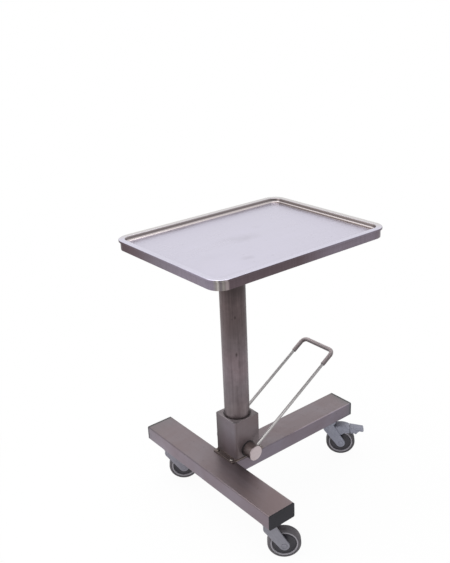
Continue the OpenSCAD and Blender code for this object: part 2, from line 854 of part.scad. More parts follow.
module wheel_guards() {
    bore = hub_seat_r + run_gap;
    out = guard_out;
    on_axle() for (side = [-1, 1]) scale([1, 1, side]) rotate_extrude() polygon([
        [bore, out - 5.5], [bore + 4, out - 5.5], [bore + 7, out - 3], [rim_r - 9, out - 3], [rim_r - 6.5, out],
        [rim_r - 8, out], [rim_r - 10, out - 1], [bore + 6, out - 1], [bore + 3, out + 1], [bore, out + 1]]);
}

module wheel_tyre() {
    half = tyre_w/2;
    shoulder = tyre_edge;
    on_axle() rotate_extrude() polygon(concat(
        [[rim_r, -half]],
        arc([wheel_r - shoulder, -half + shoulder], shoulder, -90, 0),
        arc([wheel_r - shoulder, half - shoulder], shoulder, 0, 90),
        [[rim_r, half]]));
}

module front_stem() { color(dark_steel) caster(front_at, front_turn) caster_stem(); }
module rear_stem() { color(dark_steel) caster(rear_at, rear_turn) caster_stem(); }
module braked_stem() { color(dark_steel) caster(braked_at, braked_turn) caster_stem(); }
module front_fork() { color(grey_plastic) caster(front_at, front_turn) fork(); }
module rear_fork() { color(grey_plastic) caster(rear_at, rear_turn) fork(); }
module front_axle() { color(chrome) caster(front_at, front_turn) axle(); }
module rear_axle() { color(chrome) caster(rear_at, rear_turn) axle(); }
module braked_axle() { color(chrome) caster(braked_at, braked_turn) axle(); }
module front_rim() { color(rim_grey) caster(front_at, front_turn) wheel_rim(); }
module rear_rim() { color(rim_grey) caster(rear_at, rear_turn) wheel_rim(); }
module braked_rim() { color(rim_grey) caster(braked_at, braked_turn) wheel_rim(); }
module front_guards() { color(wheel_grey) caster(front_at, front_turn) wheel_guards(); }
module rear_guards() { color(wheel_grey) caster(rear_at, rear_turn) wheel_guards(); }
module braked_guards() { color(wheel_grey) caster(braked_at, braked_turn) wheel_guards(); }
module front_tyre() { color(tyre_grey) caster(front_at, front_turn) wheel_tyre(); }
module rear_tyre() { color(tyre_grey) caster(rear_at, rear_turn) wheel_tyre(); }
module braked_tyre() { color(tyre_grey) caster(braked_at, braked_turn) wheel_tyre(); }

module stem_nuts() {
    color(chrome) placed() for (at = [front_at, rear_at, braked_at])
        translate([at.x, at.y, caster_h + tube_wall]) difference() {
            cylinder(h = nut_h, r = nut_r, $fn = 6);
            translate([0, 0, -1]) cylinder(h = nut_h + 2, r = thread_r + run_gap);
        }
}

// Brake

// Upper half of a cross outline brake_w wide, with two rounded edges at height top
module brake_section(top) {
    intersection() {
        rounded_rect(brake_w, 2*top, brake_edge);
        translate([0, top]) square([brake_w + 2, 2*top], center = true);
    }
}

// A shell round the braked wheel's upper half, joined to the crown and open below
module hood() {
    difference() {
        intersection() {
            on_axle() rotate_extrude() rotate([0, 0, -90]) brake_section(hood_r);
            across(brake_w + 2) polygon([
                [hood_start, crown_top], [hood_start, skirt_z + 4], [trail - 14, skirt_z - 6],
                [trail + 2, skirt_z - 7], [trail + 12, skirt_z], [hood_end, skirt_z], [hood_end, crown_top]]);
        }
        on_axle() cylinder(h = hood_gap, r = hood_in_r, center = true);
        translate([0, 0, crown_bottom/2]) cube([2*crown_neck_r, hood_gap, crown_bottom], center = true);
    }
}

module braked_fork() {
    color(grey_plastic) caster(braked_at, braked_turn) difference() {
        union() {
            fork_crown();
            fork_arms();
            hood();
        }
        fork_bores();
        translate([brake_pin_at.x, 0, brake_pin_at.y]) rotate([90, 0, 0])
            cylinder(h = brake_w + 2, r = brake_pin_r + run_gap, center = true);
    }
}

module brake_pin() {
    color(chrome) caster(braked_at, braked_turn) translate([brake_pin_at.x, 0, brake_pin_at.y]) rotate([90, 0, 0])
        cylinder(h = brake_w - 1, r = brake_pin_r, center = true);
}

module brake_pedal() {
    length = brake_reach + brake_w;
    drop = tan(brake_slope);
    lip_z = pad_top_z - brake_t/cos(brake_slope);
    bump = pad_u + 16;
    color(grey_plastic) caster(braked_at, braked_turn) difference() {
        union() {
            intersection() {
                translate([hood_end, 0, pad_top_z]) rotate([0, brake_slope, 0]) translate([-brake_w/2, 0, -hood_r])
                    rotate([90, 0, 90]) linear_extrude(length) brake_section(hood_r);
                linear_extrude(2*crown_top) translate([brake_reach - length/2, 0])
                    rounded_rect(length, brake_w, brake_tip_r);
                across(brake_w + 2) polygon([
                    [pad_u, crown_top], [pad_u, brake_pin_at.y], [pad_u + 2.6, skirt_z], [bump, skirt_z],
                    [bump + 2, skirt_z - 2.5], [bump + 7, skirt_z - 2.5], [bump + 12, skirt_z + 4],
                    [bump + 18, lip_z - drop*(bump + 18 - hood_end)],
                    [length, lip_z - drop*(length - hood_end)], [length, crown_top]]);
            }
            across(fork_gap - 4)
                strap(brake_pin_at, brake_boss_r, brake_pin_at + [20, -11.3], brake_boss_r);
        }
        brake_swung_back() wheel_disc(wheel_r + shoe_t + run_gap, tyre_w + 3);
        translate([brake_pin_at.x, 0, brake_pin_at.y]) rotate([90, 0, 0])
            cylinder(h = brake_w + 2, r = brake_pin_r + run_gap, center = true);
    }
}

// Takes a shape from the braking position back to the resting one
module brake_swung_back() {
    translate([brake_pin_at.x, 0, brake_pin_at.y]) rotate([0, -brake_swing, 0])
        translate([-brake_pin_at.x, 0, -brake_pin_at.y]) children();
}

module wheel_disc(r, w) {
    on_axle() cylinder(h = w, r = r, center = true);
}

// A pad that meets the tyre evenly once the pedal is down
module brake_shoe() {
    pad_w = fork_gap - 8;
    far = 2*wheel_r;
    color(black_plastic) caster(braked_at, braked_turn) brake_swung_back() intersection() {
        difference() {
            wheel_disc(wheel_r + shoe_t, pad_w);
            wheel_disc(wheel_r + face_gap, pad_w + 2);
        }
        across(pad_w + 2) polygon([axle_at, axle_at + far*[cos(shoe_from), sin(shoe_from)],
            axle_at + far*[cos(shoe_to), sin(shoe_to)]]);
    }
}

cross_tube();
stem_tube();
end_plugs();
foot_plate();
foot_screws();
pump_housing();
housing_collar();
collar_seal();
pump_body();
column_tube();
column_bush();
hydraulic_cylinder();
cylinder_gland();
shaft_bushes();
pump_barrel();
pump_plunger();
plunger_spring();
pedal_shaft();
pedal_hubs();
hub_caps();
pedal_cam();
pedal_bar();
foot_sleeve();
piston();
piston_rod();
thrust_washer();
mast_tube();
mast_bush();
head_plug();
head_plate();
head_screws();
tray_rails();
tray_frame();
tray_pan();
front_stem();
front_fork();
front_axle();
front_rim();
front_guards();
front_tyre();
rear_stem();
rear_fork();
rear_axle();
rear_rim();
rear_guards();
rear_tyre();
braked_stem();
braked_fork();
braked_axle();
braked_rim();
braked_guards();
braked_tyre();
brake_pedal();
brake_pin();
brake_shoe();
stem_nuts();
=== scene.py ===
"""The looks of a hydraulic instrument table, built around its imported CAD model."""

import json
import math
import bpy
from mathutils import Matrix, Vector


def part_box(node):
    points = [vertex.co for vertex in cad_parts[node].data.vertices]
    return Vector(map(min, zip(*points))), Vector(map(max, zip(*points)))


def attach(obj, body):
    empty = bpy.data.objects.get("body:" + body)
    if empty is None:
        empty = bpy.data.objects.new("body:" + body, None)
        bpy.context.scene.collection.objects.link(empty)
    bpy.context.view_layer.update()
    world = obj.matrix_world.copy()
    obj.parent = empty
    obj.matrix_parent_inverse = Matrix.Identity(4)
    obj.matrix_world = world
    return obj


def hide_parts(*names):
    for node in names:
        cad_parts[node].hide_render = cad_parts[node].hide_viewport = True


bl_info = {
    "name": "Instrument table",
    "version": (1, 0, 0),
    "blender": (4, 5, 0),
    "location": "3D View > Sidebar > Table",
    "description": "Dresses the packed table: steel, tray, pump, pedal, casters and stage",
    "category": "Object",
}

import bmesh
import bpy
from bpy.props import FloatProperty, FloatVectorProperty, IntProperty, PointerProperty
from bpy.types import Operator, Panel, PropertyGroup
from mathutils import Matrix, Vector

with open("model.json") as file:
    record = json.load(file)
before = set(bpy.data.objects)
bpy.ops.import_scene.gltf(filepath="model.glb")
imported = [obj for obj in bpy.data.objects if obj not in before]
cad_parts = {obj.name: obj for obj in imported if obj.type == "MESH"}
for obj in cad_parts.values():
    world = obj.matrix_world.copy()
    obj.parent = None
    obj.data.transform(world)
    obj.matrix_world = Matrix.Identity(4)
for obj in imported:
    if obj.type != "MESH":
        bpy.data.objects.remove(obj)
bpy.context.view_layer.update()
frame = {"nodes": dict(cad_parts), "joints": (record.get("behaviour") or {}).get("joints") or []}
NODES = frame["nodes"]
JOINTS = {joint["name"]: joint for joint in frame["joints"]}

MM = 0.001
COLUMN_LOW, COLUMN_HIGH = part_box("column_tube")
AXIS = (COLUMN_LOW + COLUMN_HIGH) / 2
TRAY_LOW, TRAY_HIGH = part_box("tray_pan")
TRAY_MIDDLE = (TRAY_LOW + TRAY_HIGH) / 2
TRAY_SIZE = TRAY_HIGH - TRAY_LOW
CASTERS = ("front", "rear", "braked")

UP, DOWN = (0.0, 0.0, 1.0), (0.0, 0.0, -1.0)
MINUS_X, MINUS_Y = (-1.0, 0.0, 0.0), (0.0, -1.0, 0.0)
WHITE = (1.0, 1.0, 1.0, 1.0)

# Sizes of the shapes that are built here

MERGE_WITHIN = 1e-6
FLAT_WITHIN = math.radians(0.6)
SHARP_FROM = math.radians(32)
TUBE_CORNER = 4.5 * MM
HOUSING_CORNER = 4.5 * MM
NEAR_CORNER_MORE = 6.5 * MM
HOUSING_STEPS = 16
EDGE_STEP = 15
SEAM_STEPS = 6
SEAM_LIFT = 0.4
BEAD_PITCH = 1.15
BEAD_SEED = 7
DROP_SIZES = (0.88, 1.12)
SCREW_HEAD = 6.4 * MM
SCREW_SOCKET = 2.4 * MM
SCREW_SHANK = 4 * MM
SCREW_PLAY = 0.2 * MM
DOME_FLATNESS = 0.62
TRAY_CORNER = 48 * MM
TRAY_SHEET = 1.2 * MM
PROFILE_STEPS = 8
RIM_FLAT = 0.4 * MM
RIM_ROLL = 2.5 * MM
FLOOR_COVE = 6 * MM
TRAY_LIP = 6 * MM
WALL_DRAFT = 2 * MM
FLOOR_FLAT = 1 * MM

# The seal's seat in the housing: beyond the hole's radius, and from the top face

SEAL_SEAT = [(0.8 * MM, 0.0), (0.2 * MM, -0.3 * MM), (0.0, -1.0 * MM)]

# The stage and its camera; a lamp has a place and the side of its square

KEY_LAMP = ((-0.5, 0.1, 3.2), 3.2)
SIDE_LAMP = ((-2.4, 0.9, 1.9), 1.8)
FLOOR_RADIUS = 14.0
FLOOR_STEPS = 96
SENSOR_HEIGHT = 36.0
VIEW_END = 60.0
LAMP_TARGET = Vector((0.0, 0.0, 0.5))

# Wheel profiles in millimetres: radius from the axle, distance from the wheel's middle

WHEEL_SEAT = 43.0
WHEEL_HALF = 15.0
TREAD_SHOULDER = 7.0
TREAD_GROOVE = 0.5
RIM_PROFILE = [
    (5.05, -15.3), (9.5, -15.3), (10.6, -14.6), (11.0, -13.6), (11.0, -4.0), (36.5, -4.0), (38.0, -12.6),
    (38.6, -13.7), (39.4, -14.0), (41.8, -14.0), (42.6, -13.8), (43.0, -13.2),
]
DISC_PROFILE = [
    (11.2, 7.0), (15.0, 7.0), (18.0, 9.5), (34.0, 9.5), (36.2, 12.4), (35.4, 12.9), (34.2, 12.7), (32.6, 11.6),
    (30.0, 11.3), (22.0, 11.2), (18.5, 11.6), (16.4, 12.6), (14.6, 13.4), (12.4, 13.6), (11.4, 13.3), (11.2, 12.8),
]

# The tyre's bead: millimetres beyond the seat and inside the side

TYRE_BEAD = [(0.0, 1.0), (0.6, 0.2), (1.6, 0.2)]

# The tyre's shoulder: first and last angle in degrees, and steps

SHOULDER_ARC = (-78, -6, 9)

# The tyre's crown: millimetres below the radius and from the wheel's middle

TYRE_CROWN = [(0.15, -6.4), (TREAD_GROOVE, -6.0), (TREAD_GROOVE, -5.4), (0.0, -5.0)]

# Shares of a surface's own colour in its marks and its painted shade, and what covers it

SPOT_TINT, WORN_TINT, SHADE_TINT, GRIME_AND_SHADE_TINT = 0.6, 1.7, 0.35, 0.35
RUBBED_TINT = 1.5
SPOT_SHARE = 0.35
SHADE_REACH = 0.12
PLASTIC_EDGE = 1 * MM
STEEL_GRIME_AND_SHADE = (0.03, 0.024, 0.022, 1.0)
RELIEF_DEPTH = 0.2 * MM
LAY = {"x": (0.0, 0.0, 0.0), "y": (0.0, 0.0, math.radians(90)), "z": (0.0, math.radians(90), 0.0)}


def at_column(x, y, z):
    """A point given in millimetres from the column's axis and the floor."""
    return Vector((AXIS.x + x * MM, AXIS.y + y * MM, z * MM))


def along_box(node, axis, share):
    """A coordinate at a share of the way through a node's box."""
    low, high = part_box(node)
    return low[axis] + share * (high[axis] - low[axis])


# Shader building


class Graph:
    """Adds nodes to a tree and wires each input to a socket or a value."""

    def __init__(self, tree):
        self.tree = tree

    def node(self, kind, inputs=None, **settings):
        made = self.tree.nodes.new(kind)
        for name, value in settings.items():
            setattr(made, name, value)
        for key, value in (inputs or {}).items():
            self.feed(made.inputs[key], value)
        return made

    def feed(self, socket, value):
        if isinstance(value, bpy.types.NodeSocket):
            self.tree.links.new(value, socket)
        else:
            socket.default_value = value

    def math(self, operation, a, b, clamp=False):
        return self.node("ShaderNodeMath", {0: a, 1: b}, operation=operation, use_clamp=clamp).outputs[0]

    def plus(self, a, b, clamp=False):
        return self.math("ADD", a, b, clamp)

    def times(self, a, b, clamp=False):
        return self.math("MULTIPLY", a, b, clamp)

    def rest(self, share):
        return self.math("SUBTRACT", 1.0, share)

    def vector(self, operation, a, b):
        return self.node("ShaderNodeVectorMath", {0: a, 1: b}, operation=operation).outputs[0]

    def dot(self, a, b):
        return self.node("ShaderNodeVectorMath", {0: a, 1: b}, operation="DOT_PRODUCT").outputs["Value"]

    def length(self, vector):
        return self.node("ShaderNodeVectorMath", {0: vector}, operation="LENGTH").outputs["Value"]

    def split(self, vector):
        return self.node("ShaderNodeSeparateXYZ", {0: vector}).outputs

    def joined(self, x=0.0, y=0.0, z=0.0):
        return self.node("ShaderNodeCombineXYZ", {0: x, 1: y, 2: z}).outputs[0]

    def mix(self, factor, a, b, blend="MIX"):
        made = self.node(
            "ShaderNodeMix", {0: factor, 6: a, 7: b}, data_type="RGBA", blend_type=blend, clamp_factor=True
        )
        return made.outputs[2]

    def span(self, value, low, high, to_low=0.0, to_high=1.0):
        return self.node(
            "ShaderNodeMapRange",
            {"Value": value, "From Min": low, "From Max": high, "To Min": to_low, "To Max": to_high},
        ).outputs["Result"]

    def band(self, value, start, full, fading, gone):
        """A mask that rises from start to full and falls from fading to gone."""
        return self.times(self.span(value, start, full), self.span(value, gone, fading))

    def noise(self, vector, scale, detail, roughness=0.5, distortion=0.0):
        return self.node(
            "ShaderNodeTexNoise",
            {"Vector": vector, "Scale": scale, "Detail": detail, "Roughness": roughness, "Distortion": distortion},
        ).outputs[0]

    def group(self, name, inputs):
        return self.node("ShaderNodeGroup", inputs, node_tree=bpy.data.node_groups[name]).outputs


SOCKETS = {"value": "NodeSocketFloat", "vector": "NodeSocketVector", "colour": "NodeSocketColor"}


def new_group(name, inputs, outputs):
    """An empty shader group with named sockets, and the graph that fills it."""
    tree = bpy.data.node_groups.new(name, "ShaderNodeTree")
    for socket, kind, default in inputs:
        made = tree.interface.new_socket(name=socket, in_out="INPUT", socket_type=SOCKETS[kind])
        if default is not None:
            made.default_value = default
    for socket, kind in outputs:
        tree.interface.new_socket(name=socket, in_out="OUTPUT", socket_type=SOCKETS[kind])
    graph = Graph(tree)
    return graph, graph.node("NodeGroupInput").outputs, graph.node("NodeGroupOutput").inputs


def build_brushed_grain():
    """Long fine scratches along X: a mask of streaks and a height for bump."""
    graph, given, made = new_group(
        "Brushed grain",
        [("Vector", "vector", None), ("Stretch", "value", 40.0), ("Fine", "value", 900.0), ("Wide", "value", 90.0)],
        [("Streaks", "value"), ("Height", "value")],
    )
    x, y, z = graph.split(given["Vector"])
    drawn = graph.joined(graph.math("DIVIDE", x, given["Stretch"]), y, z)
    fine = graph.noise(drawn, given["Fine"], 3.0, 0.6)
    wide = graph.noise(drawn, given["Wide"], 2.0, 0.5)
    both = graph.plus(graph.times(fine, 0.55), graph.times(wide, 0.45))
    graph.feed(made["Streaks"], graph.span(both, 0.34, 0.66))
    graph.feed(made["Height"], fine)


def build_handling_marks():
    """Cloudy wiping marks and a few small spots, as on steel in daily use."""
    graph, given, made = new_group(
        "Handling marks",
        [("Vector", "vector", None), ("Cloud size", "value", 6.0), ("Spot size", "value", 70.0)],
        [("Clouds", "value"), ("Spots", "value")],
    )
    broad = graph.noise(given["Vector"], given["Cloud size"], 4.0, 0.62, 0.6)
    graph.feed(made["Clouds"], graph.span(broad, 0.36, 0.64))
    spots = graph.noise(given["Vector"], given["Spot size"], 1.0, 0.4)
    graph.feed(made["Spots"], graph.span(spots, 0.70, 0.80))


def build_worn_edges():
    """A rounded normal for sharp CAD edges and a mask that follows them."""
    graph, given, made = new_group(
        "Worn edges", [("Radius", "value", 0.001)], [("Edge", "value"), ("Normal", "vector")]
    )
    rounded = graph.node("ShaderNodeBevel", {"Radius": given["Radius"]}, samples=6).outputs[0]
    flat = graph.node("ShaderNodeNewGeometry").outputs["Normal"]
    graph.feed(made["Edge"], graph.span(graph.dot(rounded, flat), 0.995, 0.86))
    graph.feed(made["Normal"], rounded)


def open_sky(graph, reach):
    """How open a place is within a reach: 1 in the open, 0 in a closed corner."""
    return graph.node("ShaderNodeAmbientOcclusion", {"Distance": reach}, samples=6).outputs["AO"]


def build_corner_grime_and_shade():
    """A mask of crevices from ambient occlusion: grime that a cloth doesn't reach, and painted shade where light
    reaches less.
    """
    graph, given, made = new_group(
        "Corner grime",
        [("Vector", "vector", None), ("Reach", "value", 0.012), ("Break up", "value", 60.0)],
        [("Soiling and shade", "value")],
    )
    broken = graph.span(graph.noise(given["Vector"], given["Break up"], 3.0, 0.6), 0.3, 0.7, 0.55, 1.0)
    closed = graph.span(open_sky(graph, given["Reach"]), 0.85, 0.25)
    graph.feed(made["Soiling and shade"], graph.times(closed, broken, clamp=True))


def build_deep_shade():
    """A tone that falls where large neighbours stand close, as metal mirrors them."""
    graph, given, made = new_group("Deep shade", [("Reach", "value", 0.15)], [("Shade", "value")])
    graph.feed(made["Shade"], graph.span(open_sky(graph, given["Reach"]), 0.25, 0.95, 1.0, 0.0))


def build_moulded_skin():
    """The faint texture and colour drift of moulded plastic and rubber."""
    graph, given, made = new_group(
        "Moulded skin",
        [("Vector", "vector", None), ("Pebble", "value", 1400.0), ("Drift", "value", 14.0)],
        [("Drift", "value"), ("Height", "value")],
    )
    graph.feed(made["Height"], graph.noise(given["Vector"], given["Pebble"], 2.0, 0.6))
    graph.feed(made["Drift"], graph.span(graph.noise(given["Vector"], given["Drift"], 4.0, 0.6), 0.32, 0.68))


def build_room_tones():
    """What the upright sides of the tray mirror: tones that change along its outline."""
    graph, given, made = new_group(
        "Room tones",
        [("Vector", "vector", None), ("Length", "value", 0.66), ("Width", "value", 0.51)],
        [("Tone", "colour")],
    )
    x, y, _ = graph.split(given["Vector"])
    along = graph.math(
        "SUBTRACT", graph.math("DIVIDE", x, given["Length"]), graph.math("DIVIDE", y, given["Width"])
    )
    waved = graph.plus(along, graph.span(graph.noise(given["Vector"], 9.0, 2.0), 0.3, 0.7, -0.02, 0.02))
    left = graph.band(waved, -0.90, -0.20, 0.0, 0.06)
    right = graph.band(waved, 0.42, 0.66, 0.90, 1.0)
    cool = graph.plus(left, graph.times(right, 0.58), clamp=True)
    tone = graph.mix(cool, (0.56, 0.49, 0.53, 1.0), (1.28, 1.30, 1.54, 1.0))
    tone = graph.mix(graph.band(along, -0.045, -0.015, 0.02, 0.055), tone, (1.44, 1.54, 1.34, 1.0))
    for centre, half, mirrored in (
        (-0.009, 0.006, (2.3, 2.5, 2.3, 1.0)), (0.009, 0.010, (0.90, 0.92, 0.92, 1.0)),
        (0.046, 0.009, (1.55, 1.52, 1.48, 1.0)),
    ):
        start, end, soft = centre - half, centre + half, half * 0.6
        tone = graph.mix(graph.band(along, start - soft, start + soft, end - soft, end + soft), tone, mirrored)
    upright = graph.span(graph.noise(graph.joined(along), 70.0, 3.0, 0.6), 0.32, 0.68, 0.92, 1.09)
    graph.feed(made["Tone"], graph.vector("MULTIPLY", tone, upright))


def new_material(name):
    material = bpy.data.materials.new(name)
    material.use_nodes = True
    material.node_tree.nodes.clear()
    graph = Graph(material.node_tree)
    where = graph.node("ShaderNodeTexCoord").outputs["Object"]
    return material, graph, where


def close_material(graph, surface):
    graph.node("ShaderNodeOutputMaterial", {"Surface": surface.outputs[0]})


def toned(graph, base, *rows):
    """Multiplies a colour by the tone of each row where the row's mask says so."""
    for mask, tone in rows:
        base = graph.mix(mask, base, (*tone, 1.0), "MULTIPLY")
    return base


def facing(graph, way, low=0.25, high=0.9):
    """A mask of the faces that look along a direction of the part's frame."""
    normal = graph.node("ShaderNodeNewGeometry").outputs["Normal"]
    return graph.span(graph.dot(normal, way), low, high)


def under_room(graph, where, base):
    """Multiplies a colour by painted reflections of the room, measured from the tray's middle, with painted shade
    at one far end.
    """
    moved = graph.vector("SUBTRACT", where, tuple(TRAY_MIDDLE))
    along = graph.span(graph.split(moved)[1], 0.03, 0.19)
    far_end = graph.times(facing(graph, (-0.92, 0.38, 0.0), 0.80, 0.95), along)
    base = toned(graph, base, (far_end, (0.76, 0.60, 0.62)))
    return graph.mix(1.0, base, graph.group("Room tones", {"Vector": moved})["Tone"], "MULTIPLY")


def stained(graph, where, base, marks, ragged, limits, colour):
    """Mixes a colour in at marks, each an ellipsoid: its centre, half sizes and depth, with a broken outline."""
    scale, detail, share = ragged
    for spot, half_sizes, depth in marks:
        moved = graph.vector("SUBTRACT", where, tuple(at_column(*spot)))
        scaled = graph.vector("MULTIPLY", moved, tuple(1 / (half * MM) for half in half_sizes))
        broken = graph.times(graph.noise(where, scale, detail), share)
        mask = graph.span(graph.plus(graph.length(scaled), broken), *limits)
        base = graph.mix(graph.times(mask, depth, clamp=True), base, colour)
    return base


def tinted(colour, share):
    return (colour[0] * share, colour[1] * share, colour[2] * share, 1.0)


def steel(name, colour, lay, rough, streak=0.10, cloud=0.10, wear=0.25, grime_and_shade=0.5, edge=0.0012,
          warm=(0.86, 0.74, 0.68), shade=0.45, metallic=1.0, extra=None):
    """Satin stainless steel: brushed along one axis, wiped, worn on its edges unless edge is None."""
    material, graph, where = new_material(name)
    turned = graph.node("ShaderNodeMapping", {"Vector": where, "Rotation": LAY[lay]}).outputs[0]
    grain = graph.group("Brushed grain", {"Vector": turned})
    marks = graph.group("Handling marks", {"Vector": where})
    dirt_and_shade = graph.group("Corner grime", {"Vector": where})
    base = graph.mix(grain["Streaks"], tinted(colour, 1 - streak), tinted(colour, 1 + streak))
    hazy = (colour[0] * warm[0], colour[1] * warm[1], colour[2] * warm[2], 1.0)
    base = graph.mix(graph.times(marks["Clouds"], cloud * 4, clamp=True), base, hazy)
    base = graph.mix(graph.times(marks["Spots"], SPOT_SHARE), base, tinted(colour, SPOT_TINT))
    if extra:
        base = extra(graph, where, base)
    relief = {"Strength": 0.12 if edge else 0.04, "Distance": RELIEF_DEPTH, "Height": grain["Height"]}
    if edge:
        edges = graph.group("Worn edges", {"Radius": edge})
        base = graph.mix(graph.times(edges["Edge"], wear), base, tinted(colour, WORN_TINT))
        relief["Normal"] = edges["Normal"]
    # Painted shade where large neighbours stand close, then crevice grime mixed with painted shade
    deep = graph.group("Deep shade", {"Reach": SHADE_REACH})
    base = graph.mix(graph.times(deep["Shade"], shade), base, tinted(colour, SHADE_TINT))
    base = graph.mix(graph.times(dirt_and_shade["Soiling and shade"], grime_and_shade), base, STEEL_GRIME_AND_SHADE)
    dull = rough - 0.06
    for mask, more in ((grain["Streaks"], 0.08), (marks["Clouds"], 0.07), (dirt_and_shade["Soiling and shade"], 0.2)):
        dull = graph.plus(dull, graph.times(mask, more), clamp=True)
    bump = graph.node("ShaderNodeBump", relief)
    surface = graph.node(
        "ShaderNodeBsdfPrincipled",
        {"Base Color": base, "Metallic": metallic, "Roughness": dull, "Normal": bump.outputs[0]},
    )
    close_material(graph, surface)
    return material


def plastic(name, colour, rough, drift=0.12, pebble=1400.0, bump=0.15, wear=0.2, grime_and_shade=0.5,
            dust=(0.42, 0.38, 0.34), dusty=0.0, shine=0.5, extra=None):
    """Moulded plastic or rubber with a fine skin, rubbed edges and a little dust."""
    material, graph, where = new_material(name)
    skin = graph.group("Moulded skin", {"Vector": where, "Pebble": pebble})
    edges = graph.group("Worn edges", {"Radius": PLASTIC_EDGE})
    dirt_and_shade = graph.group("Corner grime", {"Vector": where})
    base = graph.mix(skin["Drift"], tinted(colour, 1 - drift), tinted(colour, 1 + drift))
    base = graph.mix(graph.times(edges["Edge"], wear), base, tinted(colour, RUBBED_TINT))
    if extra:
        base = extra(graph, where, base)
    base = graph.mix(graph.times(skin["Drift"], dusty, clamp=True), base, (*dust, 1.0))
    # Crevice grime mixed with painted shade
    base = graph.mix(graph.times(dirt_and_shade["Soiling and shade"], grime_and_shade), base, tinted(colour, GRIME_AND_SHADE_TINT))
    dull = graph.plus(rough, graph.times(skin["Drift"], 0.1), clamp=True)
    raised = graph.node(
        "ShaderNodeBump",
        {"Strength": bump, "Distance": RELIEF_DEPTH, "Height": skin["Height"], "Normal": edges["Normal"]},
    )
    surface = graph.node(
        "ShaderNodeBsdfPrincipled",
        {"Base Color": base, "Roughness": dull, "Normal": raised.outputs[0], "Specular IOR Level": shine},
    )
    close_material(graph, surface)
    return material


def dress(material, *nodes):
    """Gives CAD nodes one material on every slot."""
    for name in nodes:
        slots = NODES[name].data.materials
        if not slots:
            slots.append(material)
        for index in range(len(slots)):
            slots[index] = material


# Mesh building


def finished(name, shape, body, material, replaced, smooth):
    """Turns a bmesh in the part's frame into a piece that rides on a body."""
    bmesh.ops.remove_doubles(shape, verts=shape.verts, dist=MERGE_WITHIN)
    bmesh.ops.recalc_face_normals(shape, faces=shape.faces)
    mesh = bpy.data.meshes.new(name)
    shape.to_mesh(mesh)
    shape.free()
    return adopted(name, mesh, body, material, replaced, smooth)


def adopted(name, mesh, body, material, replaced, smooth):
    """Makes a mesh a smooth-shaded piece on a body, with edges sharper than an angle kept sharp."""
    for polygon in mesh.polygons:
        polygon.use_smooth = True
    mesh.set_sharp_from_angle(angle=math.radians(smooth))
    mesh.materials.clear()
    mesh.materials.append(material)
    piece = bpy.data.objects.new(name, mesh)
    bpy.context.scene.collection.objects.link(piece)
    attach(piece, body)
    if replaced:
        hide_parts(*replaced)
    return piece


def join_rings(shape, low, high):
    """Joins two rings of corners by a strip of faces."""
    for step in range(len(low)):
        after = (step + 1) % len(low)
        shape.faces.new([low[step], low[after], high[after], high[step]])


def sweep(shape, rings, closed=False):
    """Joins outlines of equal length into a skin, the last to the first where it is closed."""
    made = [[shape.verts.new(point) for point in ring] for ring in rings]
    for low, high in list(zip(made, made[1:])) + ([(made[-1], made[0])] if closed else []):
        join_rings(shape, low, high)
    return made


def revolve(shape, profile, place, segments):
    """Spins a loop of (radius, height) points, in millimetres, round the Z axis of a matrix."""
    rings = []
    for radius, height in profile:
        ring = []
        for step in range(segments):
            turn = 2 * math.pi * step / segments
            point = Vector((radius * math.cos(turn), radius * math.sin(turn), height)) * MM
            ring.append(place @ point)
        rings.append(ring)
    sweep(shape, rings, closed=True)


def bend(centre, radius, start, end, steps):
    """Points of an arc in a profile, angles in degrees."""
    points = []
    for step in range(steps + 1):
        turn = math.radians(start + (end - start) * step / steps)
        points.append((centre[0] + radius * math.cos(turn), centre[1] + radius * math.sin(turn)))
    return points


def both_halves(points):
    """A profile and its mirror image about the wheel's middle, as one loop."""
    return points + [(radius, -height) for radius, height in reversed(points)]


def ring_points(half_x, half_y, corner, reach, height, steps, side_steps=1, wider=0.0):
    """One closed outline: rounded corners centred inside a rectangle, at a given reach and height.

    The corner towards -x and -y can be rounded by a wider radius.
    """
    corners = []
    for sign_x, sign_y, turn in ((1, 1, 0), (-1, 1, 90), (-1, -1, 180), (1, -1, 270)):
        more = wider if sign_x < 0 and sign_y < 0 else 0.0
        for step in range(steps + 1):
            angle = math.radians(turn + 90 * step / steps)
            corners.append(
                Vector((
                    sign_x * (half_x - corner - more) + (reach + more) * math.cos(angle),
                    sign_y * (half_y - corner - more) + (reach + more) * math.sin(angle),
                    height,
                ))
            )
    points = []
    for at, point in enumerate(corners):
        points.append(point)
        if at % (steps + 1) == steps:
            after = corners[(at + 1) % len(corners)]
            points += [point.lerp(after, step / side_steps) for step in range(1, side_steps)]
    return points


def eased_copy(name, node, width, body, material):
    """A copy of a CAD node whose sharp edges are rounded by a real bevel."""
    shape = bmesh.new()
    shape.from_mesh(NODES[node].data)
    bmesh.ops.remove_doubles(shape, verts=shape.verts, dist=2 * MERGE_WITHIN)
    bmesh.ops.dissolve_limit(
        shape, angle_limit=FLAT_WITHIN, verts=shape.verts, edges=shape.edges, delimit={"NORMAL"}
    )
    bmesh.ops.recalc_face_normals(shape, faces=shape.faces)
    sharp = [edge for edge in shape.edges if len(edge.link_faces) == 2 and edge.calc_face_angle(0) > SHARP_FROM]
    bmesh.ops.bevel(
        shape, geom=sharp, offset=width, segments=2, profile=0.5, affect="EDGES", clamp_overlap=True
    )
    mesh = bpy.data.meshes.new(name)
    shape.to_mesh(mesh)
    shape.free()
    return adopted(name, mesh, body, material, (node,), smooth=40.0)


# Geometry Nodes


